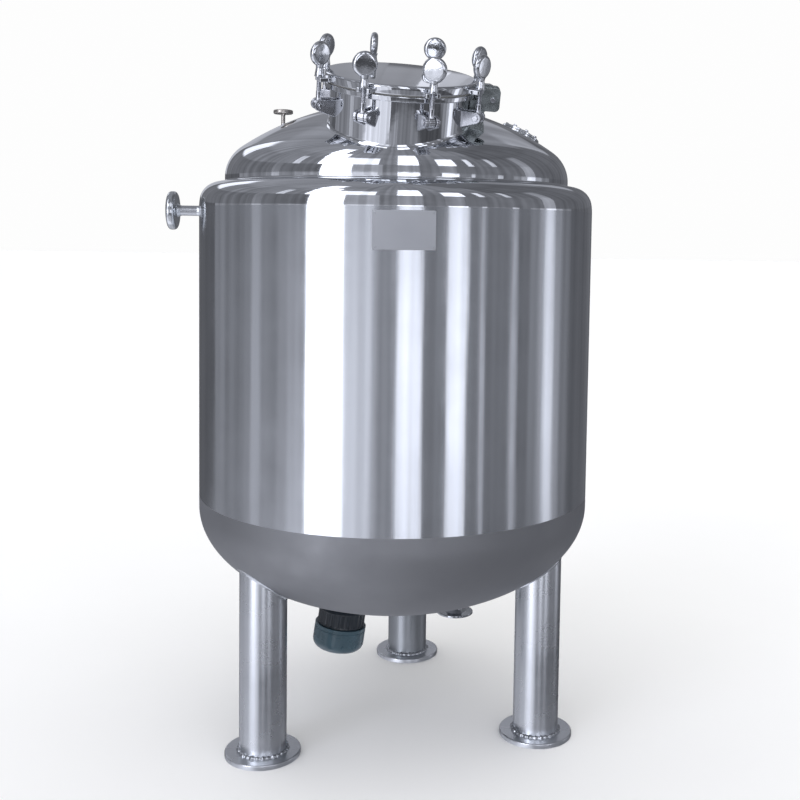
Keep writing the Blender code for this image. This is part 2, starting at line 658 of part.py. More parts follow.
def make_side_nozzle():
    """Jacket nozzle at the left, with its flared root and thick round flange."""
    face = JACKET_R + NOZZLE_REACH
    bore = NOZZLE_R - NOZZLE_WALL
    back = face - NOZZLE_FLANGE_THICK - GAP
    flare = [(NOZZLE_R + r, JACKET_R + z) for r, z in NOZZLE_FLARE]
    pipe = [(NOZZLE_R, back)] + flare + [(bore, flare[-1][1]), (bore, back)]
    pipe_mesh = turned_mesh("side_nozzle", pipe, PIPE_STEPS, closed=True)
    nozzle = add_part("side_nozzle", pipe_mesh, STEEL_BRUSHED, side_frame())
    shoulder = arc((VESSEL_R, TANGENT_Z), SHOULDER_R + GAP, 90.0, 0.0, SHOULDER_STEPS)
    low = NOZZLE_Z - 2 * REACH
    profile = [(0.0, shoulder[0][1])] + shoulder + [(JACKET_R + GAP, low), (0.0, low)]
    boolean(nozzle, add_guide("jacket_wall", turned_mesh("jacket_wall", profile)), "DIFFERENCE")
    low = face - NOZZLE_FLANGE_THICK
    edge = NOZZLE_EDGE
    flange = arc((NOZZLE_FLANGE_R - edge, face - edge), edge, 90.0, 0.0, 2)
    flange += arc((NOZZLE_FLANGE_R - edge, low + edge), edge, 0.0, -90.0, 2)
    flange += [(bore, low), (bore, face)]
    flange_mesh = turned_mesh("side_nozzle_flange", flange, FITTING_STEPS, closed=True)
    add_part("side_nozzle_flange", flange_mesh, STEEL_BRUSHED, side_frame())


def outlet_frame():
    """Frame on the bottom head at the outlet, with Z pointing down."""
    rise = math.sqrt(1.0 - (OUTLET_AT[0] ** 2 + OUTLET_AT[1] ** 2) / JACKET_R ** 2)
    z = SEAM_Z - HEAD_FLANGE - HEAD_DEPTH * rise
    return Matrix.Translation((*OUTLET_AT, z)) @ Matrix.Rotation(math.pi, 4, "X")


def mixer_frame():
    return bottom_frame(*MIXER_AT)


def make_outlet():
    """Outlet nozzle from the vessel's bottom through the jacket, with its flange."""
    bore = OUTLET_R - OUTLET_WALL
    back = OUTLET_LENGTH - OUTLET_FLANGE_THICK
    profile = [(OUTLET_FLANGE_R, OUTLET_LENGTH), (OUTLET_FLANGE_R, back), (OUTLET_R, back),
               (OUTLET_R, -OUTLET_ROOT), (bore, -OUTLET_ROOT), (bore, OUTLET_LENGTH)]
    mesh = turned_mesh("outlet_nozzle", profile, PIPE_STEPS, closed=True)
    outlet = add_part("outlet_nozzle", mesh, STEEL_BRUSHED, outlet_frame())
    boolean(outlet, VESSEL, "DIFFERENCE")


def make_mixer():
    """Bottom mixer drive: its mount through the jacket, the motor housing and the fan cowl."""
    frame = mixer_frame()
    rim = MOUNT_DROP - MOUNT_RIM_THICK
    mount = [(0.0, MOUNT_DROP), (MOUNT_R + MOUNT_RIM, MOUNT_DROP), (MOUNT_R + MOUNT_RIM, rim), (MOUNT_R, rim),
             (MOUNT_R, -2 * REACH), (0.0, -2 * REACH)]
    carrier = add_part("mixer_mount", turned_mesh("mixer_mount", mount, FITTING_STEPS), STEEL_BARE, frame)
    boolean(carrier, VESSEL, "DIFFERENCE")
    low = MOUNT_DROP + GAP
    high = low + MOTOR_LENGTH
    inset, depth = MOTOR_EDGE
    housing = [(0.0, high), (MOTOR_R, high), (MOTOR_R, low + depth), (MOTOR_R - inset, low), (0.0, low)]
    add_part("motor_housing", turned_mesh("motor_housing", housing, FITTING_STEPS), PAINT_DARK, frame)
    low = high + GAP
    high = low + COWL_LENGTH
    cowl = [(0.0, high)] + arc((COWL_R - COWL_ROUND, high - COWL_ROUND), COWL_ROUND, 90.0, 0.0, 4)
    cowl += [(COWL_R, low), (0.0, low)]
    add_part("fan_cowl", turned_mesh("fan_cowl", cowl, FITTING_STEPS), PAINT_TEAL, frame)


def make_nameplate():
    """Blank plate bent to the jacket's curve."""
    mesh = bpy.data.meshes.new("nameplate")
    shape = bmesh.new()
    bmesh.ops.create_grid(shape, x_segments=8, y_segments=1, size=0.5)
    for vert in shape.verts:
        point = around_tank(PLATE_AZIMUTH + math.degrees(vert.co.x * PLATE_SIZE[0] / JACKET_R),
                            JACKET_R + 3 * GAP + PLATE_THICK, PLATE_Z + vert.co.y * PLATE_SIZE[1])
        vert.co = point
    shape.to_mesh(mesh)
    shape.free()
    plate = add_part("nameplate", mesh, PLATE)
    thick = plate.modifiers.new("Thick", "SOLIDIFY")
    thick.thickness = PLATE_THICK
    thick.offset = -1.0


def make_legs():
    """Three pipe legs under the bottom head, each on a round foot plate."""
    pipe = [(LEG_R, SEAM_Z), (LEG_R, FOOT_THICK + GAP), (LEG_R - LEG_WALL, FOOT_THICK + GAP),
            (LEG_R - LEG_WALL, SEAM_Z)]
    foot = [(0.0, FOOT_THICK), (FOOT_R - FOOT_EDGE, FOOT_THICK), (FOOT_R, FOOT_THICK - FOOT_EDGE),
            (FOOT_R, 0.0), (0.0, 0.0)]
    for side, azimuth in LEG_AZIMUTHS.items():
        frame = Matrix.Translation(around_tank(azimuth, LEG_CIRCLE_R))
        leg_mesh = turned_mesh("leg", pipe, FITTING_STEPS, closed=True)
        leg = add_part("leg_" + side, leg_mesh, STEEL_BRUSHED, frame)
        boolean(leg, JACKET, "DIFFERENCE")
        add_part("foot_" + side, turned_mesh("foot", foot, FITTING_STEPS), STEEL_BRUSHED, frame)


def centre_on_box():
    """Shift everything so that the origin is under the middle of the box."""
    shift = Matrix.Translation((NOZZLE_REACH / 2, 0.0, 0.0))
    bpy.context.view_layer.update()
    for obj in list(PARTS.objects) + list(GUIDES.objects):
        obj.matrix_world = shift @ obj.matrix_world


clear_scene()
PARTS = new_collection("mixing_tank")
GUIDES = new_collection("cutters")
VESSEL = vessel_solid()
JACKET = jacket_solid()
DOME = dome_solid("dome_space", GAP)
make_jacket()
make_bottom_head()
make_vessel()
make_top_head()
make_neck()
make_lid()
make_swing_bolts()
make_hinge()
make_sight_glass()
make_stub()
make_side_nozzle()
make_outlet()
make_mixer()
make_nameplate()
make_legs()
centre_on_box()
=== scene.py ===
"""Looks of the jacketed mixing tank: smooth shells, welds, fasteners, finishes and studio light.

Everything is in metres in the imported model's frame. The frames of single fittings are built as in the CAD.
"""

import math

import bmesh
import bpy
from mathutils import Matrix, Vector


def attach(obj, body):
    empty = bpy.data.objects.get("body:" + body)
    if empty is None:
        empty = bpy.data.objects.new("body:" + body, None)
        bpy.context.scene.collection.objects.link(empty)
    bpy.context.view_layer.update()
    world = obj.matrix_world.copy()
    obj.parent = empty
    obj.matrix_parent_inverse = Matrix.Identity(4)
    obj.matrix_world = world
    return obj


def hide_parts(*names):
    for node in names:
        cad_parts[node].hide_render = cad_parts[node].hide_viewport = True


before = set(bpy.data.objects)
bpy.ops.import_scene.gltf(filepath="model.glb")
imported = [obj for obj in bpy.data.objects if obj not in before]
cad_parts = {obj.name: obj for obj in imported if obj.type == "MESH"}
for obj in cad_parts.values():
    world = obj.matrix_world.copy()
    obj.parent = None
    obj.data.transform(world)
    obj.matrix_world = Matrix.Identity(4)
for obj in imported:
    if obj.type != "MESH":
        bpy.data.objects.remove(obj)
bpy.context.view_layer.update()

# Sizes of the tank, as in the CAD
AXIS_X = 0.0425
JACKET_R = 0.500
JACKET_WALL = 0.004
SEAM_Z = 0.602
TANGENT_Z = 1.323
SHOULDER_R = 0.063
VESSEL_R = JACKET_R - SHOULDER_R
VESSEL_WALL = 0.005
SHOULDER_TOP = TANGENT_Z + SHOULDER_R
KNUCKLE_Z = SHOULDER_TOP + 0.0135
CROWN_R = 0.700
KNUCKLE_R = 0.090
CROWN_Z = KNUCKLE_Z - math.sqrt((CROWN_R - KNUCKLE_R) ** 2 - (VESSEL_R - KNUCKLE_R) ** 2)
CROWN_ANGLE = math.asin((VESSEL_R - KNUCKLE_R) / (CROWN_R - KNUCKLE_R))
CROWN_EDGE_Z = CROWN_Z + CROWN_R * math.cos(CROWN_ANGLE)
RIM_Z = SEAM_Z - 0.0294
HEAD_DEPTH = 0.2666
BOTTOM_Z = RIM_Z - HEAD_DEPTH
GAP = 0.0003

# The shoulder's outline, which the CAD has as one quarter circle: a slightly bulged foot, then a tighter bend
SHOULDER_FOOT = 0.022
FOOT_LEAN = 0.3
BEND_LEAN = 9.5

# Manway and lid
MANWAY_OFFSET = 0.279
MANWAY_FORWARD = 16.6
MANWAY_RIGHT = 3.2
NECK_R = 0.161
NECK_WALL = 0.006
NECK_BORE = NECK_R - NECK_WALL
NECK_HEIGHT = 0.058
NECK_HOLE_R = NECK_R - 0.010
FLANGE_R = 0.175
FLANGE_THICK = 0.012
FLANGE_TOP = NECK_HEIGHT + FLANGE_THICK
GASKET_THICK = 0.003
LID_THICK = 0.020
LID_BASE = FLANGE_TOP + GASKET_THICK + 2 * GAP
LID_RISE = 0.004
LID_CROWN_R = 3.6
LID_CROWN_ANGLE = 2.68
LID_RIM_R = 0.006
TAB_THICK = 0.010
TAB_SLOT = 0.016
TAB_WIDTH = 0.036
TAB_REACH = 0.005
TAB_SLOT_END = -0.001

# Lugs, swing bolts and knobs
FIRST_BOLT = -23.8
BOLT_COUNT = 8
BOLT_ANGLES = [FIRST_BOLT + 360.0 / BOLT_COUNT * i for i in range(BOLT_COUNT)]
BOLT_CIRCLE_R = 0.194
PIVOT_HEIGHT = 0.0215
ROD_R = 0.006
ROD_END = 0.083
ROD_PLAIN = 0.020
THREAD_DEPTH = 0.0008
THREAD_PITCH = 0.00175
THREAD_ROWS = 6
EYE_R = 0.011
EYE_WIDTH = 0.016
PIN_R = 0.005
PIN_HEAD = 0.0035
EAR_THICK = 0.008
EAR_GAP = 0.018
EAR_END_R = 0.013
EAR_FOOT = 0.026
KNOB_R = 0.0275
KNOB_THICK = 0.016
KNOB_HEIGHT = 0.1125
KNOB_BULGE = 0.0007
BOSS_R = 0.0115
BOSS_BASE = LID_BASE + TAB_THICK + 0.0005 - PIVOT_HEIGHT
BOSS_WASHER = 0.0022
# Turn of each knob about its rod, in degrees; the second one stands 13 degrees further than in the CAD
KNOB_YAWS = (12, -18, 50, 55, 5, 87, 60, 48)

# Under the tank
LEG_R = 0.057
LEG_WALL = 0.004
LEG_CIRCLE_R = 0.395
LEG_AZIMUTHS = {"front_left": -52.0, "front_right": 68.0, "rear": 173.5}
FOOT_R = 0.0915
FOOT_THICK = 0.012
BEAD_SIZE = 0.0068
BEAD_RIPPLES = ((0.0012, 29, 0.0), (0.0008, 13, 1.0))
OUTLET_AT = (0.174, 0.150)
OUTLET_R = 0.021
OUTLET_WALL = 0.003
OUTLET_FLANGE_R = 0.050
OUTLET_FLANGE_THICK = 0.016
OUTLET_LENGTH = 0.130
MIXER_AT = (-0.126, 0.000)
MOUNT_R = 0.050
MOUNT_FLANGE_R = 0.058
MOUNT_DROP = 0.030
MOTOR_R = 0.0615
MOTOR_LENGTH = 0.050
MOTOR_STEPS = 144
RIB_COUNT = 24
RIB_DEPTH = 0.0022
COWL_R = 0.067
COWL_LENGTH = 0.066
COWL_TURN = 0.022
COWL_LIP = 0.0012
GROOVE_COUNT = 5
GROOVE_PITCH = 0.0066
GROOVE_DEPTH = 0.0018

# Small fittings
NOZZLE_Z = 1.315
NOZZLE_R = 0.013
NOZZLE_BORE = 0.010
NOZZLE_REACH = 0.085
NOZZLE_FLANGE_R = 0.049
NOZZLE_FLANGE_THICK = 0.022
NOZZLE_NECK = 0.010
PLATE_SIZE = (0.137, 0.085)
PLATE_Z = 1.272
PLATE_AZIMUTH = 1.7
PLATE_THICK = 0.0015
RIVET_INSET = 0.006
GLASS_AT = (0.316, 0.050)
GLASS_FLANGE_R = 0.053
GLASS_BASE = 0.009
GLASS_RECESS = 0.005
GLASS_COVER = 0.006
GLASS_PANE_R = 0.038
GLASS_SIGHT_R = 0.033
GLASS_BOLT_COUNT = 8
STUB_AT = (-0.291, -0.035)
STUB_R = 0.0245
STUB_HEIGHT = 0.038
STUB_CAP = 0.010
STUB_STEM_R = 0.005
HINGE_ANGLE = 88.7
HINGE_R = 0.2135
HINGE_HEIGHT = 0.0545
HINGE_KNUCKLE_R = 0.013
HINGE_PIN_R = 0.006
HINGE_PIN_HALF = 0.026
HINGE_END_R = 0.2305
HINGE_LOW = 0.027
HINGE_HIGH = 0.082
HINGE_CORNER_R = 0.011
HINGE_EAR_THICK = 0.008
HINGE_EAR_SHIFT = 0.0155
HINGE_ARM_WIDTH = 0.021

# Reach of the welds, and how deep they and the pipes go into the tank's wall
SHOULDER_WELD = 0.005
NECK_WELD = 0.007
LEG_WELD = 0.005
FITTING_WELD = 0.004
NOZZLE_FLARE = 0.013
WELD_ROOT = 0.0015
RING_ROOT = 0.002
PIPE_ROOT = 0.002
NECK_ROOT = 0.016

# Heights along a pipe's frame, outside and inside the tank, between which the tank's wall is looked for
NECK_SPAN = (0.06, -0.12)
LEG_SPAN = (0.2, SEAM_Z)
FITTING_SPAN = (0.02, -0.03)

# Steps around the shells, the manway's rings, flanges, pipes and rods
SHELL_STEPS = 256
RING_STEPS = 160
FLANGE_STEPS = 96
PIPE_STEPS = 64
ROD_STEPS = 20

# Edges are sharp above this angle, and points this close are one
SHARP_ANGLE = math.radians(35.0)
MERGE_DISTANCE = 0.000005
# A row of faces this near a shell's edge keeps the shading flat beside it
EDGE_ROW = 0.004
WALL_SEARCH_STEPS = 40


# Frames of the fittings


UP = Vector((0.0, 0.0, 1.0))
# Turns an outline's XY into the frame's XZ
UPRIGHT = Matrix.Rotation(math.pi / 2, 4, "X")


def tank_frame(x=0.0, y=0.0, z=0.0):
    """Frame at a place that is measured from the tank's axis."""
    return Matrix.Translation((AXIS_X, 0.0, 0.0)) @ Matrix.Translation((x, y, z))


def turn_to(axis, start=UP):
    return start.rotation_difference(axis).to_matrix().to_4x4()


def dome_frame(x, y):
    """Frame on the crown with its Z along the surface normal."""
    height = math.sqrt(CROWN_R ** 2 - x * x - y * y)
    return tank_frame(x, y, CROWN_Z + height) @ turn_to(Vector((x, y, height)).normalized())


def leaning_frame(x, y, forward, right):
    """Frame on the crown with its Z leaning by these angles."""
    lean_y = math.sin(math.radians(forward))
    lean_x = math.sin(math.radians(right))
    axis = Vector((lean_x, -lean_y, math.sqrt(1.0 - lean_x ** 2 - lean_y ** 2)))
    return Matrix.Translation(dome_frame(x, y).translation) @ turn_to(axis)


def manway_polar(angle, radius=0.0, height=0.0):
    """Place around the manway's axis: X runs outward at this angle from the front."""
    return Matrix.Rotation(math.radians(angle - 90.0), 4, "Z") @ Matrix.Translation((radius, 0.0, height))


def dish_share(x, y):
    """Share of the bottom head's depth that it has at a place."""
    return math.sqrt(1.0 - (x * x + y * y) / JACKET_R ** 2)


def mixer_frame():
    """Frame on the bottom head with its Z pointing out of the tank along the surface normal."""
    x, y = MIXER_AT
    share = dish_share(x, y)
    normal = Vector((x * HEAD_DEPTH / JACKET_R ** 2, y * HEAD_DEPTH / JACKET_R ** 2, -share)).normalized()
    flip = Matrix.Rotation(math.pi, 4, "X")
    return tank_frame(x, y, RIM_Z - HEAD_DEPTH * share) @ turn_to(normal, -UP) @ flip


MANWAY = leaning_frame(0.0, -MANWAY_OFFSET, MANWAY_FORWARD, MANWAY_RIGHT)


# The tank's outside


def outer_radius(z):
    """Radius of the tank's outside at a height, or -1 above and below it."""
    if z < BOTTOM_Z or z > CROWN_Z + CROWN_R:
        return -1.0
    if z < RIM_Z:
        return JACKET_R * math.sqrt(max(0.0, 1.0 - ((RIM_Z - z) / HEAD_DEPTH) ** 2))
    if z <= TANGENT_Z:
        return JACKET_R
    if z <= SHOULDER_TOP:
        return VESSEL_R + math.sqrt(max(0.0, SHOULDER_R ** 2 - (z - TANGENT_Z) ** 2))
    if z <= KNUCKLE_Z:
        return VESSEL_R
    if z <= CROWN_EDGE_Z:
        return VESSEL_R - KNUCKLE_R + math.sqrt(max(0.0, KNUCKLE_R ** 2 - (z - KNUCKLE_Z) ** 2))
    return math.sqrt(max(0.0, CROWN_R ** 2 - (z - CROWN_Z) ** 2))


def meets(base, radius, angle, span):
    """Height along the frame's Z at which a pipe's side line goes through the tank's outside."""
    outside, inside = span
    for _ in range(WALL_SEARCH_STEPS):
        middle = (outside + inside) / 2
        point = base @ Vector(polar(radius, angle, middle))
        if math.hypot(point.x - AXIS_X, point.y) > outer_radius(point.z):
            outside = middle
        else:
            inside = middle
    return outside


# Meshes


def polar(radius, angle, z):
    return (radius * math.cos(angle), radius * math.sin(angle), z)


def around(steps):
    """Angles of evenly spaced points around Z."""
    return [2 * math.pi * k / steps for k in range(steps)]


def arc(centre, radius, start, end, steps):
    points = []
    for i in range(steps + 1):
        angle = math.radians(start + (end - start) * i / steps)
        points.append((centre[0] + radius * math.cos(angle), centre[1] + radius * math.sin(angle)))
    return points


def rounded(corners, closed=True, steps=5):
    """Outline with its corners rounded; each corner is (x, y) or (x, y, radius)."""
    points = []
    count = len(corners)
    for i, corner in enumerate(corners):
        here = Vector(corner[:2])
        radius = corner[2] if len(corner) > 2 else 0.0
        if radius == 0.0 or (not closed and i in (0, count - 1)):
            points.append(tuple(here))
            continue
        back = Vector(corners[i - 1][:2]) - here
        ahead = Vector(corners[(i + 1) % count][:2]) - here
        half = back.angle(ahead) / 2
        reach = min(radius / math.tan(half), 0.49 * back.length, 0.49 * ahead.length)
        radius = reach * math.tan(half)
        centre = here + (back.normalized() + ahead.normalized()).normalized() * (radius / math.sin(half))
        first = here + back.normalized() * reach - centre
        last = here + ahead.normalized() * reach - centre
        start = math.atan2(first.y, first.x)
        sweep = (math.atan2(last.y, last.x) - start + math.pi) % (2 * math.pi) - math.pi
        for k in range(steps + 1):
            angle = start + sweep * k / steps
            points.append((centre.x + radius * math.cos(angle), centre.y + radius * math.sin(angle)))
    return points


def band(inner, outer, start, end, *edges):
    """Section of a ring between two heights, with its outer corners rounded by one radius or two."""
    return rounded([(inner, start), (outer, start, edges[0]), (outer, end, edges[-1]), (inner, end)])


def skin(rows, closed=False):
    """Vertices and faces of a skin over rings of points; closed joins the last ring to the first."""
    count = len(rows[0])
    verts = [point for row in rows for point in row]
    faces = []
    spans = len(rows) if closed else len(rows) - 1
    for i in range(spans):
        low = i * count
        high = (i + 1) % len(rows) * count
        for k in range(count):
            right = (k + 1) % count
            faces.append((low + k, low + right, high + right, high + k))
    return verts, faces


def capped(rows):
    """A skin with a flat face on its first and last ring."""
    verts, faces = skin(rows)
    count = len(rows[0])
    faces.append(tuple(range(count))[::-1])
    faces.append(tuple(len(verts) - count + k for k in range(count)))
    return verts, faces


def rings(profile, steps):
    """A ring of points about Z for each (radius, height)."""
    return [[polar(r, a, z) for a in around(steps)] for r, z in profile]


def turned(profile, steps, closed=True):
    """Skin of a (radius, height) outline spun about Z."""
    return skin(rings(profile, steps), closed)


def plate(outline, thickness):
    """A flat outline in XY made into a plate centred on Z."""
    half = thickness / 2
    return capped([[(x, y, z) for x, y in outline] for z in (-half, half)])


def moved(shape, base):
    verts, faces = shape
    return [tuple(base @ Vector(v)) for v in verts], faces


def joined(shapes):
    verts = []
    faces = []
    for some_verts, some_faces in shapes:
        first = len(verts)
        verts += some_verts
        faces += [tuple(first + k for k in face) for face in some_faces]
    return verts, faces


def mesh_object(name, shape, base):
    verts, faces = shape
    mesh = bpy.data.meshes.new(name)
    mesh.from_pydata(verts, [], faces)
    obj = bpy.data.objects.new(name, mesh)
    bpy.context.collection.objects.link(obj)
    obj.matrix_world = base
    return obj


def piece(name, shape, base, look, body="vessel", replaces=(), bevel=0.0, even=True):
    """Make a mesh object, finish it and set it on its body."""
    obj = mesh_object(name, shape, base)
    clean_mesh(obj.data)
    obj.data.shade_smooth()
    obj.data.set_sharp_from_angle(angle=SHARP_ANGLE)
    obj.data.materials.append(look)
    if bevel:
        edge = obj.modifiers.new("Bevel", "BEVEL")
        edge.width = bevel
        edge.segments = 3
        edge.limit_method = "ANGLE"
        edge.angle_limit = SHARP_ANGLE
    if even:
        normal = obj.modifiers.new("EvenNormals", "WEIGHTED_NORMAL")
        normal.keep_sharp = True
    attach(obj, body)
    if replaces:
        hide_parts(*replaces)
    return obj


def clean_mesh(mesh):
    """Merge doubled points and turn all faces outward."""
    shape = bmesh.new()
    shape.from_mesh(mesh)
    bmesh.ops.remove_doubles(shape, verts=shape.verts, dist=MERGE_DISTANCE)
    bmesh.ops.recalc_face_normals(shape, faces=shape.faces)
    shape.to_mesh(mesh)
    shape.free()


def pipe_to_tank(base, radius, wall, end, span, steps=PIPE_STEPS, sink=PIPE_ROOT):
    """A pipe from a height of its frame up to the tank's outside, cut to its form."""
    outside, inside = span
    step = sink if inside > outside else -sink
    root = [meets(base, radius, a, span) + step for a in around(steps)]
    rows = []
    for r, share in ((radius, 1.0), (radius, 0.5), (radius, 0.0), (radius - wall, 0.0), (radius - wall, 1.0)):
        rows.append([polar(r, a, end + (top - end) * share) for a, top in zip(around(steps), root)])
    return skin(rows, closed=True)


def fillet_to_tank(base, radius, size, span, steps=FLANGE_STEPS, hollow=4):
    """Smooth hollow weld where a pipe meets the tank."""
    rows = [[] for _ in range(hollow + 3)]
    outside, inside = span
    away = -1.0 if inside > outside else 1.0
    far = radius + size
    for a in around(steps):
        corner = Vector(polar(radius, a, meets(base, radius, a, span)))
        on_pipe = corner + Vector((0.0, 0.0, away * size))
        on_tank = Vector(polar(far, a, meets(base, far, a, span)))
        for i in range(hollow + 1):
            t = i / hollow
            rows[i].append(tuple(on_pipe * (1 - t) ** 2 + corner * 2 * t * (1 - t) + on_tank * t * t))
        deep = Vector((0.0, 0.0, -away * WELD_ROOT))
        rows[hollow + 1].append(tuple(on_tank + deep))
        rows[hollow + 2].append(polar(radius - WELD_ROOT, a, (corner + deep).z))
    return skin(rows, closed=True)


def hex_bolt(radius, height):
    """Hexagon head on a washer, standing on its frame's XY plane."""
    washer = 0.0015
    head = ((radius * 1.1, washer), (radius * 1.1, height - 0.0008), (radius * 0.97, height))
    return joined([turned(band(0.0, radius * 1.28, 0.0, washer, 0.0, 0.0004), 24), capped(rings(head, 6))])


# Finishes


# The middle part of a noise's range, which holds most of its values
NOISE_LOW = 0.3
NOISE_HIGH = 0.7
EVEN = (1, 1, 1)


class Nodes:
    """A node tree with short ways to add and join nodes."""

    def __init__(self, tree):
        self.tree = tree

    def fill(self, node, inputs):
        """Set a node's inputs to values, or join them to other nodes' outputs."""
        for key, value in inputs.items():
            if isinstance(value, bpy.types.NodeSocket):
                self.tree.links.new(value, node.inputs[key])
            else:
                node.inputs[key].default_value = value

    def node(self, kind, inputs=None, **settings):
        made = self.tree.nodes.new(kind)
        for key, value in settings.items():
            setattr(made, key, value)
        self.fill(made, inputs or {})
        return made

    def spread(self, value, low, high):
        """Map a noise value to a range."""
        ends = {"From Min": NOISE_LOW, "From Max": NOISE_HIGH, "To Min": low, "To Max": high}
        return self.node("ShaderNodeMapRange", {"Value": value, **ends}).outputs["Result"]


class Shader(Nodes):
    """A material's node tree."""

    def __init__(self, name):
        self.material = bpy.data.materials.new(name)
        self.material.use_nodes = True
        super().__init__(self.material.node_tree)
        self.surface = self.tree.nodes["Principled BSDF"]

    def noise(self, scale, detail=4.0, stretch=EVEN):
        place = self.node("ShaderNodeTexCoord")
        mapping = self.node("ShaderNodeMapping", {"Vector": place.outputs["Object"], "Scale": stretch})
        inputs = {"Vector": mapping.outputs["Vector"], "Scale": scale, "Detail": detail, "Roughness": 0.55}
        return self.node("ShaderNodeTexNoise", inputs).outputs["Fac"]

    def tones(self, value, colour, dark, light):
        """Colour between a darker and a lighter one by a noise value."""
        made = self.node("ShaderNodeValToRGB", {"Fac": value})
        ends = zip(made.color_ramp.elements, (NOISE_LOW, NOISE_HIGH), (dark, light))
        for element, position, factor in ends:
            element.position = position
            element.color = (*(min(1.0, c * factor) for c in colour), 1.0)
        return made.outputs["Color"]

    def bumps(self, layers):
        """Stack bump layers of (height value, distance)."""
        inputs = {"Strength": 1.0}
        for value, distance in layers:
            inputs.update({"Height": value, "Distance": distance})
            inputs["Normal"] = self.node("ShaderNodeBump", inputs).outputs["Normal"]
        self.fill(self.surface, {"Normal": inputs["Normal"]})


def metal(name, colour, roughness, layers, contrast=0.05, anisotropy=0.0, rotation=0.0, stain_scale=7.0):
    """Bare steel: layers are (noise scale, stretch, bump distance) of its grinding marks and waves."""
    shader = Shader(name)
    stain = shader.noise(stain_scale, 5.0)
    shader.fill(shader.surface, {
        "Metallic": 1.0,
        "Anisotropic": anisotropy,
        "Anisotropic Rotation": rotation,
        "Base Color": shader.tones(stain, colour, 1 - contrast, 1 + contrast),
        "Roughness": shader.spread(stain, roughness * 0.85, roughness * 1.2),
    })
    shader.bumps([(shader.noise(scale, 3.0, stretch), distance) for scale, stretch, distance in layers])
    if anisotropy:
        tangent = shader.node("ShaderNodeTangent", direction_type="RADIAL", axis="Z")
        shader.fill(shader.surface, {"Tangent": tangent.outputs["Tangent"]})
    return shader.material


def paint(name, colour, roughness, coat):
    """Sprayed paint with orange peel and a little dust."""
    shader = Shader(name)
    dust = shader.noise(24.0, 6.0)
    shader.fill(shader.surface, {
        "Base Color": shader.tones(dust, colour, 0.88, 1.18),
        "Roughness": shader.spread(dust, roughness * 0.8, roughness * 1.3),
        "Coat Weight": coat,
        "Coat Roughness": 0.12,
    })
    shader.bumps([(shader.noise(420.0, 2.0), 0.00008)])
    return shader.material


def rubber(name, colour):
    shader = Shader(name)
    marks = shader.noise(60.0, 6.0)
    shader.fill(shader.surface, {
        "Base Color": shader.tones(marks, colour, 0.85, 1.05),
        "Roughness": shader.spread(marks, 0.5, 0.75),
    })
    shader.bumps([(shader.noise(700.0, 2.0), 0.0001)])
    return shader.material


def glass(name):
    shader = Shader(name)
    shader.fill(shader.surface, {
        "Base Color": (0.93, 0.97, 0.96, 1.0),
        "Transmission Weight": 1.0,
        "IOR": 1.47,
        "Roughness": shader.spread(shader.noise(35.0, 5.0), 0.01, 0.06),
    })
    return shader.material


BRUSHED = metal("brushed_cylinder", (0.66, 0.68, 0.71), 0.19, [
    (60.0, (1, 1, 0.012), 0.00006),
    (8.0, (1, 1, 0.08), 0.0007),
    (500.0, (0.03, 0.03, 1), 0.00001),
], anisotropy=1.0, rotation=0.25)
POLISHED = metal("polished_steel", (0.72, 0.735, 0.76), 0.045,
                 [(11.0, EVEN, 0.0002), (160.0, EVEN, 0.000006)], contrast=0.03)
SATIN = metal("satin_head", (0.40, 0.405, 0.42), 0.62, [(900.0, EVEN, 0.00006), (5.0, EVEN, 0.0015)],
              contrast=0.04)
FITTING = metal("polished_fitting", (0.66, 0.68, 0.70), 0.12, [(300.0, (0.1, 0.1, 1), 0.00004)])
TURNED = metal("turned_steel", (0.60, 0.615, 0.64), 0.20, [(500.0, (0.05, 0.05, 1), 0.00005)], contrast=0.08)
BOLT = metal("bolt_steel", (0.60, 0.61, 0.64), 0.16, [(300.0, (0.2, 0.2, 1), 0.00003)], contrast=0.08)
KNOB = metal("knob_steel", (0.70, 0.715, 0.74), 0.08, [(40.0, EVEN, 0.0002), (260.0, EVEN, 0.00012)],
             contrast=0.10, stain_scale=80.0)
# Hinge steel with strong stains, darkened all over: the darkness is painted shade on the hinge block beside
# the lid
SHADED_HINGE = metal("hinge_steel", (0.34, 0.37, 0.37), 0.26, [(300.0, (1, 1, 0.2), 0.00005)],
              contrast=0.30, stain_scale=50.0)
LUG = metal("lug_steel", (0.52, 0.53, 0.56), 0.22, [(260.0, EVEN, 0.00006)], contrast=0.12, stain_scale=60.0)
STUB = metal("stub_steel", (0.60, 0.56, 0.51), 0.28, [(200.0, EVEN, 0.00008)],
             contrast=0.18, stain_scale=60.0)
MOUNT = metal("mount_steel", (0.42, 0.42, 0.43), 0.35, [(260.0, EVEN, 0.0001)], contrast=0.12)
LEG = metal("leg_steel", (0.74, 0.76, 0.79), 0.27,
            [(90.0, (1, 1, 0.03), 0.00003), (6.0, (1, 1, 0.2), 0.0002)], contrast=0.06)
# Darker, duller copy of the leg steel for the rear leg: painted shade from the tank above it
SHADED_REAR_LEG = metal("rear_leg_painted_shade", (0.42, 0.44, 0.46), 0.36, [(90.0, (1, 1, 0.03), 0.0001)], contrast=0.08)
PLATE = metal("plate_blank", (0.76, 0.77, 0.79), 0.75, [(700.0, EVEN, 0.00008)], contrast=0.04)
WELD = metal("weld_steel", (0.62, 0.64, 0.67), 0.14, [(220.0, EVEN, 0.00015)],
             contrast=0.10, stain_scale=90.0)
INSIDE = metal("vessel_steel", (0.5, 0.5, 0.51), 0.4, [(300.0, (1, 1, 0.1), 0.00008)])
MOTOR = paint("motor_paint", (0.012, 0.019, 0.028), 0.30, 0.4)
COWL = paint("cowl_paint", (0.050, 0.095, 0.125), 0.28, 0.5)
GASKET = rubber("gasket_rubber", (0.16, 0.16, 0.16))
GLASS = glass("sight_glass_clear")


# Shells


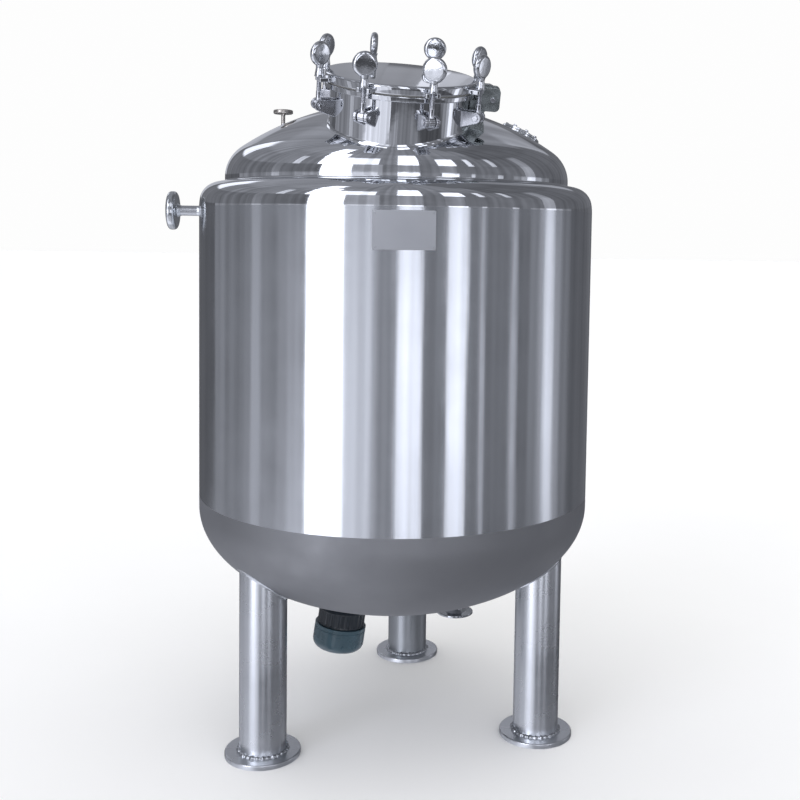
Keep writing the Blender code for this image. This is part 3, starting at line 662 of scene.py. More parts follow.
def shell(name, outline, wall, look, replaces=()):
    """Make a thin round shell from its outside (radius, height) line and the parallel line inside it."""
    inner = []
    for i, (r, z) in enumerate(outline):
        before = outline[max(0, i - 1)]
        after = outline[min(len(outline) - 1, i + 1)]
        along = Vector((after[0] - before[0], after[1] - before[1])).normalized()
        inner.append((max(0.0, r + along.y * wall), z - along.x * wall))
    shape = turned(outline + inner[::-1], SHELL_STEPS)
    return piece(name, shape, tank_frame(), look, replaces=replaces, even=False)


def make_jacket():
    low, high = math.radians(FOOT_LEAN), math.radians(BEND_LEAN)
    bulge = SHOULDER_FOOT / (math.sin(high) - math.sin(low))
    centre = (JACKET_R - bulge * math.cos(low), TANGENT_Z - bulge * math.sin(low))
    foot = arc(centre, bulge, BEND_LEAN, FOOT_LEAN, 12)
    bend = (SHOULDER_R - SHOULDER_FOOT) / (1.0 - math.sin(high))
    start_r, start_z = foot[0]
    top = arc((start_r - bend * math.cos(high), start_z - bend * math.sin(high)), bend, 90.0, BEND_LEAN, 72)
    line = [(VESSEL_R, SHOULDER_TOP)] + top + foot[1:]
    shell("jacket_shoulder", line, JACKET_WALL, POLISHED)
    middle = 1.2
    line = [(JACKET_R, z) for z in (TANGENT_Z, TANGENT_Z - EDGE_ROW, middle, SEAM_Z + EDGE_ROW, SEAM_Z)]
    shell("jacket_cylinder", line, JACKET_WALL, BRUSHED, ("jacket_shell",))


def make_bottom():
    steps = 48
    line = [(JACKET_R, SEAM_Z), (JACKET_R, RIM_Z + 0.01)]
    for i in range(steps):
        angle = math.pi / 2 * i / steps
        line.append((JACKET_R * math.cos(angle), RIM_Z - HEAD_DEPTH * math.sin(angle)))
    line.append((0.0, BOTTOM_Z))
    shell("bottom_dish", line, JACKET_WALL, SATIN, ("bottom_head",))


def make_dome():
    angle = 90.0 - math.degrees(CROWN_ANGLE)
    crown = arc((0.0, CROWN_Z), CROWN_R, 90.0, angle, 80)
    knuckle = arc((VESSEL_R - KNUCKLE_R, KNUCKLE_Z), KNUCKLE_R, angle, 0.0, 40)
    line = [(0.0, crown[0][1])] + crown[1:] + knuckle[1:]
    line += [(VESSEL_R, KNUCKLE_Z - EDGE_ROW), (VESSEL_R, SHOULDER_TOP)]
    dome = shell("top_dome", line, VESSEL_WALL, POLISHED, ("top_head",))
    cut_hole(dome, MANWAY, NECK_HOLE_R, 0.16)
    cut_hole(dome, dome_frame(*GLASS_AT), GLASS_SIGHT_R, 0.03)
    outer = VESSEL_R + SHOULDER_WELD
    inner = VESSEL_R - RING_ROOT
    high = SHOULDER_TOP + SHOULDER_WELD
    low = SHOULDER_TOP - RING_ROOT
    ring = arc((outer, high), SHOULDER_WELD, 180.0, 270.0, 8) + [(outer, low), (inner, low), (inner, high)]
    piece("shoulder_weld", turned(ring, SHELL_STEPS), tank_frame(), POLISHED)


def cut_hole(obj, base, radius, reach):
    """Cut a round hole through a shell and keep the result."""
    cutter = mesh_object("cutter", capped(rings([(radius, -reach), (radius, reach)], PIPE_STEPS)), base)
    step = obj.modifiers.new("Hole", "BOOLEAN")
    step.operation = "DIFFERENCE"
    step.solver = "EXACT"
    step.object = cutter
    bpy.context.view_layer.update()
    graph = bpy.context.evaluated_depsgraph_get()
    result = bpy.data.meshes.new_from_object(obj.evaluated_get(graph))
    obj.modifiers.remove(step)
    obj.data = result
    bpy.data.objects.remove(cutter)


# Manway


def bolt_places(height):
    """The places of the swing bolts around the manway, at a height."""
    return [manway_polar(angle, BOLT_CIRCLE_R, height) for angle in BOLT_ANGLES]


def make_neck():
    shape = pipe_to_tank(MANWAY, NECK_R, NECK_WALL, NECK_HEIGHT, NECK_SPAN, RING_STEPS, NECK_ROOT)
    piece("manway_neck_shell", shape, MANWAY, POLISHED, replaces=("manway_neck",))
    weld = fillet_to_tank(MANWAY, NECK_R, NECK_WELD, NECK_SPAN, steps=192, hollow=6)
    piece("manway_neck_weld", weld, MANWAY, POLISHED)
    ring = band(NECK_BORE, FLANGE_R, NECK_HEIGHT, FLANGE_TOP, 0.002)
    piece("manway_flange", turned(ring, RING_STEPS), MANWAY, POLISHED)
    ears = []
    for pivot in bolt_places(PIVOT_HEIGHT):
        for side in (-1, 1):
            shift = Matrix.Translation((0.0, side * (EAR_GAP + EAR_THICK) / 2, 0.0))
            ears.append(moved(plate(ear_outline(), EAR_THICK), pivot @ shift @ UPRIGHT))
    piece("lug_ears", joined(ears), MANWAY, LUG, bevel=0.0016)
    pins = [moved(lug_pin(), pivot @ UPRIGHT) for pivot in bolt_places(PIVOT_HEIGHT)]
    piece("lug_pins", joined(pins), MANWAY, BOLT)


def ear_outline():
    inner = NECK_R - 0.003 - BOLT_CIRCLE_R
    return [(inner, EAR_END_R)] + arc((0.0, 0.0), EAR_END_R, 90.0, -60.0, 14) + [(inner, -EAR_FOOT)]


def lug_pin():
    """Pin through a pair of ears, with a head on one side and a clip on the other."""
    face = EAR_GAP / 2 + EAR_THICK
    head = band(0.0, PIN_R + 0.002, face + PIN_HEAD, face, 0.001, 0.0005)
    tip = -face - 0.005
    shank = [(0.0, face), (PIN_R, face), (PIN_R, tip + 0.001), (PIN_R - 0.001, tip), (0.0, tip)]
    clip = band(PIN_R - 0.001, PIN_R + 0.003, -face - 0.0015, -face, 0.0005)
    return joined([turned(outline, ROD_STEPS) for outline in (head, shank, clip)])


def tab_outline():
    root = FLANGE_R - 0.012 - BOLT_CIRCLE_R
    half = TAB_WIDTH / 2
    slot = TAB_SLOT / 2
    corners = [(root, -half), (TAB_REACH, -half, 0.007), (TAB_REACH, -slot, 0.002), (TAB_SLOT_END, -slot)]
    finger = rounded(corners, closed=False)[:-1]
    return finger + arc((TAB_SLOT_END, 0.0), slot, 270.0, 90.0, 12) + [(x, -y) for x, y in reversed(finger)]


def make_lid():
    seat = FLANGE_TOP + GAP
    ring = band(NECK_BORE, FLANGE_R - 0.002, seat, seat + GASKET_THICK, 0.0005)
    piece("lid_gasket", turned(ring, RING_STEPS), MANWAY, GASKET, replaces=("manway_gasket",))
    top = LID_BASE + LID_THICK
    crown = arc((0.0, top + LID_RISE - LID_CROWN_R), LID_CROWN_R, 90.0, 90.0 - LID_CROWN_ANGLE, 12)
    line = [(0.0, top + LID_RISE)] + crown[1:]
    line += arc((FLANGE_R - LID_RIM_R, top - LID_RIM_R), LID_RIM_R, 88.0, 0.0, 8)
    line += [(FLANGE_R, LID_BASE + 0.002), (FLANGE_R - 0.001, LID_BASE), (0.0, LID_BASE)]
    piece("lid_plate", turned(line, RING_STEPS), MANWAY, POLISHED, replaces=("manway_lid",))
    tab = plate(tab_outline(), TAB_THICK)
    tabs = [moved(tab, place) for place in bolt_places(LID_BASE + TAB_THICK / 2)]
    piece("lid_tabs", joined(tabs), MANWAY, POLISHED, bevel=0.0015)


def thread_rows(low, high, radius):
    """Rings of a screw thread about Z that runs out at both ends."""
    rows = []
    count = int((high - low) / THREAD_PITCH * THREAD_ROWS)
    for i in range(count + 1):
        z = low + (high - low) * i / count
        fade = min(1.0, (z - low) / THREAD_PITCH, (high - z) / THREAD_PITCH)
        row = []
        for k, a in enumerate(around(ROD_STEPS)):
            phase = (z / THREAD_PITCH - k / ROD_STEPS) % 1.0
            row.append(polar(radius - THREAD_DEPTH * fade * abs(2 * phase - 1), a, z))
        rows.append(row)
    return rows


def swing_bolt():
    """Eye about the lug pin and a threaded rod."""
    half = EYE_WIDTH / 2
    bore = PIN_R + 0.0004
    eye = rounded([(bore, -half, 0.0006), (EYE_R, -half, 0.002), (EYE_R, half, 0.002), (bore, half, 0.0006)])
    low = EYE_R - 0.0015
    plain = low + ROD_PLAIN
    rows = rings([(0.0, low), (ROD_R + 0.0012, low), (ROD_R, low + 0.006), (ROD_R, plain - 0.001)], ROD_STEPS)
    rows += thread_rows(plain, ROD_END - 0.001, ROD_R - 0.0001)
    rows += rings([(ROD_R - 0.001, ROD_END), (0.0, ROD_END)], ROD_STEPS)
    return joined([moved(turned(eye, 40), UPRIGHT), skin(rows)])


def knob_nut(yaw):
    """Thick round disc with a full round edge and bulged faces, on a tapered boss with a washer."""
    edge = KNOB_THICK / 2
    flat = KNOB_R - edge
    face = [(flat * k / 6, edge + KNOB_BULGE * (1.0 - (k / 6) ** 2)) for k in range(6)]
    disc = face + arc((flat, 0.0), edge, 90.0, -90.0, 20) + [(r, -z) for r, z in reversed(face)]
    lift = Matrix.Translation((0.0, 0.0, KNOB_HEIGHT)) @ Matrix.Rotation(math.radians(yaw), 4, "Z")
    top = KNOB_HEIGHT - KNOB_R + 0.004
    low = BOSS_BASE
    washer = low + BOSS_WASHER
    inside = ROD_R + 0.0006
    waist = BOSS_R - 0.001
    line = [(0.0, top), (0.0102, top + 0.001), (0.0088, top - 0.004), (0.0085, top - 0.008),
            (0.0095, low + 0.012), (waist, low + 0.006)]
    line += rounded([(waist, washer), (BOSS_R, washer, 0.0006), (BOSS_R, low, 0.0006), (inside, low)], False)
    line += [(inside, ROD_END + 0.0006), (0.0, ROD_END + 0.0006)]
    return joined([moved(turned(disc, 56), lift @ UPRIGHT), turned(line, 32)])


def make_swing_bolts():
    bolt = swing_bolt()
    for number, (angle, yaw) in enumerate(zip(BOLT_ANGLES, KNOB_YAWS), start=1):
        pivot = MANWAY @ manway_polar(angle, BOLT_CIRCLE_R, PIVOT_HEIGHT)
        body = f"bolt_{number}"
        piece(f"swing_rod_{number}", bolt, pivot, BOLT, body, (f"swing_bolt_{number}",))
        nut = knob_nut(yaw - angle + 90.0)
        piece(f"knob_{number}", nut, pivot, KNOB, body, (f"knob_nut_{number}",))


# Under the tank


def make_legs():
    foot = turned(band(0.0, FOOT_R, 0.0, FOOT_THICK, 0.001, 0.003), FLANGE_STEPS)
    for side, azimuth in LEG_AZIMUTHS.items():
        angle = math.radians(azimuth)
        base = tank_frame(LEG_CIRCLE_R * math.sin(angle), -LEG_CIRCLE_R * math.cos(angle))
        pipe = pipe_to_tank(base, LEG_R, LEG_WALL, FOOT_THICK + GAP, LEG_SPAN, FLANGE_STEPS)
        # the rear leg takes the copy of the leg steel with painted shade
        look = SHADED_REAR_LEG if side == "rear" else LEG
        piece(f"leg_pipe_{side}", pipe, base, look, replaces=(f"leg_{side}",))
        weld = fillet_to_tank(base, LEG_R, LEG_WELD, LEG_SPAN)
        piece(f"leg_weld_{side}", weld, base, WELD)
        piece(f"foot_plate_{side}", foot, base, LEG, replaces=(f"foot_{side}",))
        piece(f"foot_weld_{side}", foot_weld(), base, WELD)


def foot_weld():
    """Rippled weld bead around a leg on its foot plate."""
    rows = [[] for _ in range(9)]
    for a in around(240):
        size = BEAD_SIZE + sum(height * math.sin(count * a + shift) for height, count, shift in BEAD_RIPPLES)
        for i, row in enumerate(rows):
            t = math.radians(-20.0 + 130.0 * i / (len(rows) - 1))
            row.append(polar(LEG_R - 0.001 + size * math.cos(t), a, FOOT_THICK - 0.0005 + size * math.sin(t)))
    return skin(rows, closed=True)


def make_outlet():
    base = tank_frame(*OUTLET_AT)
    low = RIM_Z - HEAD_DEPTH * dish_share(*OUTLET_AT) - OUTLET_LENGTH
    span = (low, RIM_Z)
    shape = pipe_to_tank(base, OUTLET_R, OUTLET_WALL, low + 0.002, span)
    piece("outlet_tube", shape, base, TURNED, replaces=("outlet_nozzle",))
    weld = fillet_to_tank(base, OUTLET_R, FITTING_WELD, span, PIPE_STEPS)
    piece("outlet_weld", weld, base, WELD)
    bore = OUTLET_R - OUTLET_WALL
    face = low + 0.0015
    rim = low + OUTLET_FLANGE_THICK / 2
    back = low + OUTLET_FLANGE_THICK
    end = back + 0.006
    raised = OUTLET_FLANGE_R * 0.66
    ring = rounded([
        (bore, low), (raised, low), (raised + 0.001, face), (OUTLET_FLANGE_R, face, 0.0015),
        (OUTLET_FLANGE_R, rim, 0.002), (OUTLET_R + 0.010, rim, 0.004), (OUTLET_R + 0.003, back, 0.004),
        (OUTLET_R, end), (bore, end),
    ])
    piece("outlet_flange", turned(ring, FLANGE_STEPS), base, FITTING)


def make_mixer():
    base = mixer_frame()
    low = MOUNT_DROP - 0.012
    root = -0.02
    line = rounded([(0.0, root), (MOUNT_R, root), (MOUNT_R, low, 0.003), (MOUNT_FLANGE_R, low, 0.001),
                    (MOUNT_FLANGE_R, MOUNT_DROP, 0.001), (0.0, MOUNT_DROP)], closed=False)
    piece("mixer_lantern", turned(line, FLANGE_STEPS), base, MOUNT, replaces=("mixer_mount",))
    start = MOUNT_DROP + GAP
    end = start + MOTOR_LENGTH
    piece("motor_body", motor_shape(start, end), base, MOTOR, replaces=("motor_housing",))
    low = end + GAP
    cowl = turned(cowl_outline(low, low + COWL_LENGTH), FLANGE_STEPS, closed=False)
    piece("cowl_shell", cowl, base, COWL, replaces=("fan_cowl",))


def motor_shape(start, end):
    """Motor housing with shallow cooling ribs between two plain ends."""
    front = [(0.0, start), (MOTOR_R - 0.008, start), (MOTOR_R - 0.006, start + 0.001),
             (MOTOR_R - 0.001, start + 0.008), (MOTOR_R, start + 0.010), (MOTOR_R, start + 0.012)]
    back = [(MOTOR_R, end - 0.004), (MOTOR_R, end - 0.001), (MOTOR_R - 0.001, end), (0.0, end)]
    ribs = []
    for z in (start + 0.014, end - 0.006):
        waves = [(a, 0.5 - 0.5 * math.cos(RIB_COUNT * a)) for a in around(MOTOR_STEPS)]
        ribs.append([polar(MOTOR_R - RIB_DEPTH * wave, a, z) for a, wave in waves])
    return skin(rings(front, MOTOR_STEPS) + ribs + rings(back, MOTOR_STEPS))


def cowl_outline(low, high):
    """Fan cowl with a rolled lip, a rounded end and round grooves in its face."""
    lip = COWL_R - COWL_LIP
    line = [(0.0, low), (MOTOR_R + 0.001, low), (COWL_R - 0.0008, low), (COWL_R, low + 0.0008),
            (COWL_R, low + 0.005), (lip, low + 0.0065), (lip, low + 0.010), (COWL_R, low + 0.0115),
            (COWL_R, high - COWL_TURN)]
    flat = COWL_R - COWL_TURN
    line += arc((flat, high - COWL_TURN), COWL_TURN, 0.0, 90.0, 14)[1:]
    deep = high - GROOVE_DEPTH
    for k in range(GROOVE_COUNT):
        r = flat - k * GROOVE_PITCH
        line += [(r - 0.002, high), (r - 0.0024, deep), (r - 0.0052, deep), (r - 0.0056, high)]
    return line + [(0.0, high)]


# Small fittings


def make_nozzle():
    base = tank_frame(z=NOZZLE_Z) @ Matrix.Rotation(-math.pi / 2, 4, "Y")
    face = JACKET_R + NOZZLE_REACH
    back = face - NOZZLE_FLANGE_THICK
    span = (back, JACKET_R - 0.05)
    shape = pipe_to_tank(base, NOZZLE_R, NOZZLE_R - NOZZLE_BORE, back + 0.002, span)
    piece("nozzle_pipe", shape, base, TURNED, replaces=("side_nozzle",))
    flare = fillet_to_tank(base, NOZZLE_R, NOZZLE_FLARE, span, PIPE_STEPS, hollow=8)
    piece("nozzle_flare", flare, base, FITTING)
    end = back - NOZZLE_NECK
    line = rounded([(NOZZLE_BORE, face), (NOZZLE_FLANGE_R, face, 0.0085), (NOZZLE_FLANGE_R, back, 0.0085),
                    (NOZZLE_R + 0.005, back, 0.006), (NOZZLE_R + 0.0005, end), (NOZZLE_BORE, end)], steps=8)
    flange = turned(line, FLANGE_STEPS)
    piece("nozzle_flange", flange, base, FITTING, replaces=("side_nozzle_flange",))


def make_sight_glass():
    base = dome_frame(*GLASS_AT)
    top = GLASS_BASE
    floor = top - GLASS_RECESS
    wall = GLASS_PANE_R + GAP
    seat = rounded([(GLASS_FLANGE_R, top, 0.001), (GLASS_FLANGE_R, -0.004), (GLASS_SIGHT_R, -0.010),
                    (GLASS_SIGHT_R, floor), (wall, floor), (wall, top)])
    shape = turned(seat, FLANGE_STEPS)
    piece("glass_seat", shape, base, FITTING, replaces=("sight_glass_base",))
    weld = fillet_to_tank(base, GLASS_FLANGE_R, FITTING_WELD, FITTING_SPAN)
    piece("glass_weld", weld, base, WELD)
    pane = turned(band(0.0, GLASS_PANE_R, floor + GAP, top, 0.0005), FLANGE_STEPS)
    piece("glass_pane", pane, base, GLASS, replaces=("sight_glass_pane",))
    low = top + GAP
    high = low + GLASS_COVER
    cover = rounded([(GLASS_FLANGE_R, high, 0.0015), (GLASS_FLANGE_R, low, 0.0008),
                     (GLASS_SIGHT_R, low, 0.0005), (GLASS_SIGHT_R, high, 0.002)])
    shape = turned(cover, FLANGE_STEPS)
    piece("glass_cover", shape, base, FITTING, replaces=("sight_glass_ring",))
    circle = (GLASS_FLANGE_R + GLASS_SIGHT_R) / 2 + 0.0008
    bolts = []
    for k in range(GLASS_BOLT_COUNT):
        turn = Matrix.Rotation(math.radians(360 / GLASS_BOLT_COUNT * k + 12), 4, "Z")
        bolts.append(moved(hex_bolt(0.0045, 0.0055), turn @ Matrix.Translation((circle, 0.0, high))))
    piece("glass_bolts", joined(bolts), base, BOLT)


def make_stub():
    base = leaning_frame(*STUB_AT, 0.0, 0.0)
    top = STUB_HEIGHT
    low = top - STUB_CAP
    line = rounded([(0.0, top), (STUB_R, top, 0.003), (STUB_R, low, 0.003), (0.008, low, 0.001),
                    (STUB_STEM_R, low - 0.004), (STUB_STEM_R, -0.004), (0.0, -0.004)], closed=False)
    piece("stub_cap", turned(line, PIPE_STEPS), base, STUB, replaces=("vent_stub",))
    weld = fillet_to_tank(base, STUB_STEM_R, FITTING_WELD, FITTING_SPAN, steps=32)
    piece("stub_weld", weld, base, WELD)


def make_nameplate():
    """Blank plate bent to the jacket, with rounded corners and four rivets."""
    inner = JACKET_R + 2 * GAP
    outer = inner + PLATE_THICK
    half_w, half_h = PLATE_SIZE[0] / 2, PLATE_SIZE[1] / 2
    rows = []
    for radius, shrink, share in (
        (inner, 0.0, 1.0), (outer - 0.0004, 0.0, 1.0), (outer, 0.0005, 1.0),
        (outer, 0.0, 0.7), (outer, 0.0, 0.4), (outer, 0.0, 0.0),
    ):
        w, h = half_w - shrink, half_h - shrink
        outline = divided(rounded([(-w, -h, 0.003), (w, -h, 0.003), (w, h, 0.003), (-w, h, 0.003)]), 12)
        rows.append([bent(x * share, z * share, radius) for x, z in outline])
    base = tank_frame()
    piece("blank_nameplate", skin(rows), base, PLATE, replaces=("nameplate",), even=False)
    rivets = []
    dome = [(0.0, 0.0016), (0.0014, 0.0012), (0.0021, 0.0005), (0.0023, 0.0), (0.0, -0.001)]
    for sx in (-1, 1):
        for sz in (-1, 1):
            spot = bent(sx * (half_w - RIVET_INSET), sz * (half_h - RIVET_INSET), outer)
            out = Vector((spot[0], spot[1], 0.0)).normalized()
            rivets.append(moved(turned(dome, 16, closed=False), Matrix.Translation(spot) @ turn_to(out)))
    piece("plate_rivets", joined(rivets), base, PLATE)


def divided(outline, parts):
    """Cut each side of a closed outline into this many pieces."""
    points = []
    for i, (x, y) in enumerate(outline):
        ahead = outline[(i + 1) % len(outline)]
        points += [(x + (ahead[0] - x) * k / parts, y + (ahead[1] - y) * k / parts) for k in range(parts)]
    return points


def bent(x, z, radius):
    """Place on the jacket's front at a distance around it and a height."""
    angle = math.radians(PLATE_AZIMUTH) + x / JACKET_R
    return (radius * math.sin(angle), -radius * math.cos(angle), PLATE_Z + z)


def make_hinge():
    """Lid hinge: two broad ears with a pin on the neck, and the lid's arm between them."""
    base = MANWAY @ manway_polar(HINGE_ANGLE)
    neck = NECK_R + GAP
    ear = rounded([
        (neck, -0.022), (neck + 0.040, -0.030, 0.004), (neck + 0.0377, -0.008, 0.02),
        (neck + 0.0337, 0.010, 0.02), (neck + 0.0357, HINGE_LOW, 0.003),
        (HINGE_END_R, HINGE_LOW, HINGE_CORNER_R), (HINGE_END_R, HINGE_HIGH, HINGE_CORNER_R),
        (neck + 0.0252, HINGE_HIGH, 0.003), (neck + 0.0252, 0.052, 0.002), (neck, 0.050),
    ])
    parts = []
    for side in (-1, 1):
        shift = Matrix.Translation((0.0, side * HINGE_EAR_SHIFT, 0.0))
        parts.append(moved(plate(ear, HINGE_EAR_THICK), shift @ UPRIGHT))
    web = rounded([(neck, 0.045), (neck + 0.020, 0.045, 0.004), (neck + 0.020, -0.022), (neck, -0.022)])
    parts.append(moved(plate(web, 2 * HINGE_EAR_SHIFT - HINGE_EAR_THICK + 0.001), UPRIGHT))
    piece("hinge_ears", joined(parts), base, SHADED_HINGE, replaces=("hinge_bracket",), bevel=0.0015)
    pin = band(0.0, HINGE_PIN_R, HINGE_PIN_HALF, -HINGE_PIN_HALF, 0.0015)
    at_pin = MANWAY @ manway_polar(HINGE_ANGLE, HINGE_R, HINGE_HEIGHT) @ UPRIGHT
    piece("hinge_pin", turned(pin, 32), at_pin, BOLT)
    edge = FLANGE_R + GAP
    top = LID_BASE + 0.0135
    arm = [(edge, top), (edge, LID_BASE + 0.001)]
    arm += arc((HINGE_R, HINGE_HEIGHT), HINGE_KNUCKLE_R, 200.0, 380.0, 24)
    arm += rounded([arm[-1], (edge + 0.049, LID_BASE + 0.005, 0.003), (edge + 0.030, top, 0.01), arm[0]],
                   closed=False)[1:-1]
    lever = plate(arm, HINGE_ARM_WIDTH)
    piece("hinge_lever", lever, base @ UPRIGHT, SHADED_HINGE, replaces=("hinge_arm",), bevel=0.0012)


def finish_cad():
    """Give the CAD nodes that still show their finish."""
    for name in ("vessel_wall", "vessel_bottom"):
        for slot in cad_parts[name].material_slots:
            slot.material = INSIDE


# Studio


# The room around the tank, in zones one above the other. Each zone is a row of upright panels: where a
# panel starts, in degrees to the right of the camera's side, and its brightness. The lowest zone is seen in
# the dish, the next in the manway's neck, then in the legs and the cylinder, the others in shoulder and dome.
FLOOR_ZONE = ((-180, 0.62), (-110, 1.10), (-34, 0.70), (-2, 0.38), (56, 0.32), (118, 0.46))
NECK_ZONE = ((-180, 0.42), (-100, 0.76), (-34, 0.48), (-20, 0.38), (-2, 0.24), (18, 0.28), (56, 0.33),
             (90, 0.26), (118, 0.62), (142, 0.30))
LEG_ZONE = ((-180, 0.28), (-140, 0.50), (-64, 0.98), (-16, 0.13), (10, 0.09), (110, 0.08), (150, 0.16))
CYLINDER_ZONE = (
    (-180, 0.12), (-126, 0.30), (-116, 0.25), (-97, 0.31), (-89, 0.54), (-82.5, 0.30), (-70, 0.40),
    (-63, 0.47),
    (-51.5, 2.8),  # the large window
    (-30.5, 0.95), (-13, 0.56),  # its curtain
    (-10, 0.38),
    (-0.3, 2.0),  # the window beside the camera
    (13, 0.27),
    (27, 2.0),  # the narrow window
    (38, 0.26), (46.5, 0.85), (50.5, 0.25), (67.5, 0.80), (71, 0.20), (79, 0.33), (86, 0.50), (92, 1.2),
    (101, 0.45), (107, 0.26), (118, 0.14),
)
HORIZON_ZONE = ((-180, 0.28), (-172, 0.55), (-158, 0.19), (-89, 0.27), (-82.5, 0.19), (-51.5, 2.2),
                (-30.5, 0.46), (-10, 0.24), (-0.3, 0.34), (13, 0.22), (26, 0.34), (37.5, 0.20), (91, 0.42),
                (100, 0.16))
WINDOW_ZONE = (
    (-180, 0.29), (-152, 1.3), (-137, 0.28), (-75, 0.9), (-70, 0.26), (-55.5, 2.8), (-33.5, 1.6),
    (-13.5, 0.30), (-0.3, 2.0), (13, 0.22), (26, 1.9), (38, 0.20), (47, 1.1), (51, 0.22), (66, 0.7),
    (69.5, 0.18), (91, 0.34), (100, 0.17), (150, 0.42), (160, 0.36),
    # the soft bright patch behind the tank that the lid mirrors
    (172, 0.46), (173.4, 0.56), (174.4, 0.72), (174.8, 1.0), (175.1, 1.3), (175.7, 0.90), (176.0, 0.60),
    (176.4, 0.42), (177.0, 0.32),
)
HIGH_ZONE = ((-180, 0.34), (-100, 0.28), (-57, 2.8), (-38, 0.32), (-0.3, 1.8), (13, 0.24), (60, 0.15),
             (140, 0.26))
TOP_ZONE = ((-180, 0.32), (-60, 2.8), (-46, 0.28), (60, 0.15), (140, 0.26))
CEILING = ((-180, 0.30), (-120, 0.32), (-20, 0.26), (50, 0.17), (140, 0.26))
# The zones above the floor's, with the sines of elevation between which each takes over from the one below
UPPER_ZONES = (
    (NECK_ZONE, -0.60, -0.55),
    (LEG_ZONE, -0.46, -0.44),
    (CYLINDER_ZONE, -0.32, -0.29),
    (HORIZON_ZONE, 0.055, 0.070),
    (WINDOW_ZONE, 0.35, 0.39),
    (HIGH_ZONE, 0.60, 0.66),
    (TOP_ZONE, 0.74, 0.78),
    (CEILING, 0.86, 0.91),
)
ROOM_TINT = (0.945, 0.97, 1.075)
# Uneven brightness of the room: upright folds, and broad clutter
FOLDS_SCALE = 75.0
FOLDS_RANGE = (0.82, 1.18)
CLUTTER_SCALE = 3.5
CLUTTER_RANGE = (0.88, 1.12)
# What matt surfaces and the camera see instead of the room
DIFFUSE_WHITE = (1.06, 1.06, 1.06, 1.0)
CAMERA_WHITE = (0.985, 0.985, 0.985, 1.0)
FLOOR_WHITE = 0.97
FLOOR_GREY = 0.955
FLOOR_HALF = 60.0


def azimuth_ramp(nodes, azimuth, panels):
    made = nodes.node("ShaderNodeValToRGB", {"Fac": azimuth})
    made.color_ramp.interpolation = "CONSTANT"
    elements = made.color_ramp.elements
    elements.remove(elements[-1])
    for i, (start, level) in enumerate(panels):
        position = start / 360.0 + 0.5
        element = elements[0] if i == 0 else elements.new(position)
        element.position = position
        element.color = (*(c * level for c in ROOM_TINT), 1.0)
    return made.outputs["Color"]


def make_world():
    """White studio for the eye, and for the steel a room with windows on one side and walls on the other."""
    world = bpy.data.worlds.new("studio")
    bpy.context.scene.world = world
    world.use_nodes = True
    world.node_tree.nodes.clear()
    nodes = Nodes(world.node_tree)

    def maths(operation, a, b):
        return nodes.node("ShaderNodeMath", {0: a, 1: b}, operation=operation).outputs[0]

    def mix(factor, a, b):
        return nodes.node("ShaderNodeMix", {"Factor": factor, 6: a, 7: b}, data_type="RGBA").outputs[2]

    def step(value, low, high):
        inputs = {"Value": value, "From Min": low, "From Max": high}
        return nodes.node("ShaderNodeMapRange", inputs, interpolation_type="SMOOTHSTEP").outputs["Result"]

    direction = nodes.node("ShaderNodeTexCoord").outputs["Generated"]
    axes = nodes.node("ShaderNodeSeparateXYZ", {0: direction}).outputs
    turn = maths("ARCTAN2", axes["X"], maths("MULTIPLY", axes["Y"], -1.0))
    azimuth = maths("ADD", maths("DIVIDE", turn, 2 * math.pi), 0.5)
    room = azimuth_ramp(nodes, azimuth, FLOOR_ZONE)
    for panels, low, high in UPPER_ZONES:
        room = mix(step(axes["Z"], low, high), room, azimuth_ramp(nodes, azimuth, panels))
    folds = nodes.node("ShaderNodeTexNoise", {"W": azimuth, "Scale": FOLDS_SCALE, "Detail": 3.0},
                       noise_dimensions="1D")
    clutter = nodes.node("ShaderNodeTexNoise", {"Vector": direction, "Scale": CLUTTER_SCALE, "Detail": 4.0})
    fine = nodes.spread(folds.outputs["Fac"], *FOLDS_RANGE)
    broad = nodes.spread(clutter.outputs["Fac"], *CLUTTER_RANGE)
    shade = maths("MULTIPLY", fine, broad)
    uneven = nodes.node("ShaderNodeVectorMath", {0: room, "Scale": shade}, operation="SCALE")
    light = nodes.node("ShaderNodeLightPath").outputs
    seen = mix(light["Is Diffuse Ray"], uneven.outputs[0], DIFFUSE_WHITE)
    seen = mix(light["Is Camera Ray"], seen, CAMERA_WHITE)
    background = nodes.node("ShaderNodeBackground", {"Color": seen})
    nodes.node("ShaderNodeOutputWorld", {"Surface": background.outputs[0]})


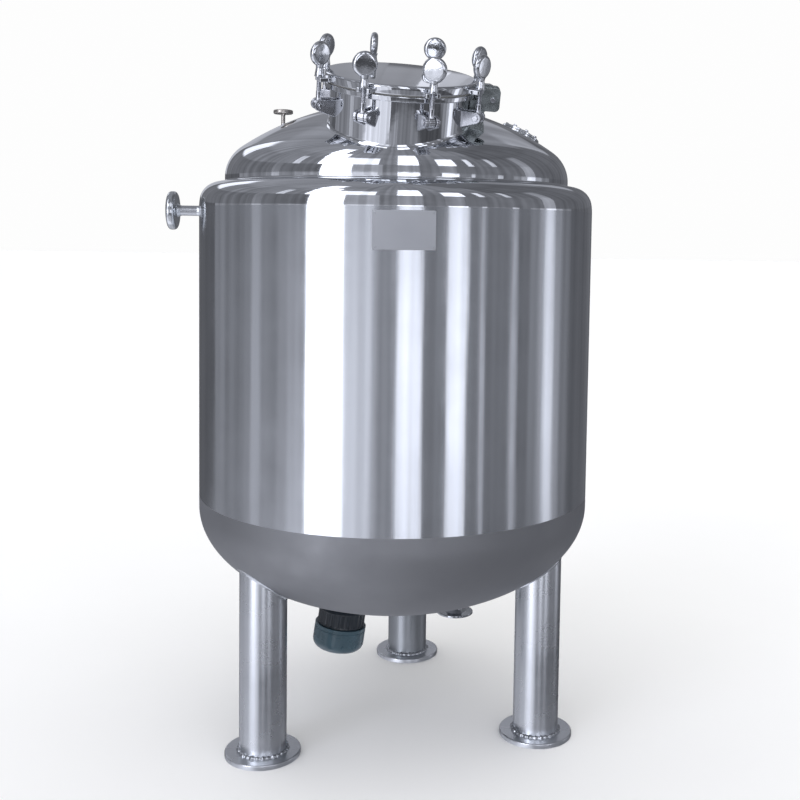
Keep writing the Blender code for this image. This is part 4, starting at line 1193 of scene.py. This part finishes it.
def make_floor():
    half = FLOOR_HALF
    corners = [(-half, -half, 0), (half, -half, 0), (half, half, 0), (-half, half, 0)]
    floor = mesh_object("floor", (corners, [(0, 1, 2, 3)]), Matrix())
    shader = Shader("pale_floor")
    shader.fill(shader.surface, {
        "Base Color": shader.tones(shader.noise(2.0, 3.0), (1.0, 1.0, 1.0), FLOOR_GREY, FLOOR_WHITE),
        "Roughness": 0.9,
        "Specular IOR Level": 0.1,
    })
    floor.data.materials.append(shader.material)
    floor.visible_glossy = False


# Camera found from the photograph: place, angles in radians, focal length and optical centre in pixels of 800
CAMERA_AT = (AXIS_X, -2.812, 1.2635)
CAMERA_YAW = math.radians(2.96)
CAMERA_PITCH = 0.0669
CAMERA_ROLL = 0.0152
FOCAL_PX = 1080.6
CENTRE_PX = (452.0, 307.2)
IMAGE_PX = 800.0
SENSOR_MM = 36.0


def make_camera():
    level = math.cos(CAMERA_PITCH)
    forward = Vector((math.sin(CAMERA_YAW) * level, math.cos(CAMERA_YAW) * level, -math.sin(CAMERA_PITCH)))
    right = Vector((math.cos(CAMERA_YAW), -math.sin(CAMERA_YAW), 0.0))
    up = right.cross(forward)
    cr, sr = math.cos(CAMERA_ROLL), math.sin(CAMERA_ROLL)
    across = right * cr + up * sr
    upward = up * cr - right * sr
    data = bpy.data.cameras.new("photo_camera")
    data.sensor_width = SENSOR_MM
    data.lens = FOCAL_PX / IMAGE_PX * SENSOR_MM
    data.shift_x = (IMAGE_PX / 2 - CENTRE_PX[0]) / IMAGE_PX
    data.shift_y = (CENTRE_PX[1] - IMAGE_PX / 2) / IMAGE_PX
    camera = bpy.data.objects.new("photo_camera", data)
    bpy.context.collection.objects.link(camera)
    turn = Matrix((across, upward, -forward)).transposed().to_4x4()
    camera.matrix_world = Matrix.Translation(CAMERA_AT) @ turn
    bpy.context.scene.camera = camera


make_camera()
make_world()
make_floor()
make_jacket()
make_bottom()
make_dome()
make_neck()
make_lid()
make_swing_bolts()
make_legs()
make_outlet()
make_mixer()
make_nozzle()
make_sight_glass()
make_stub()
make_hinge()
make_nameplate()
finish_cad()
bpy.context.scene.view_settings.view_transform = "Standard"
bpy.context.scene.view_settings.look = "None"
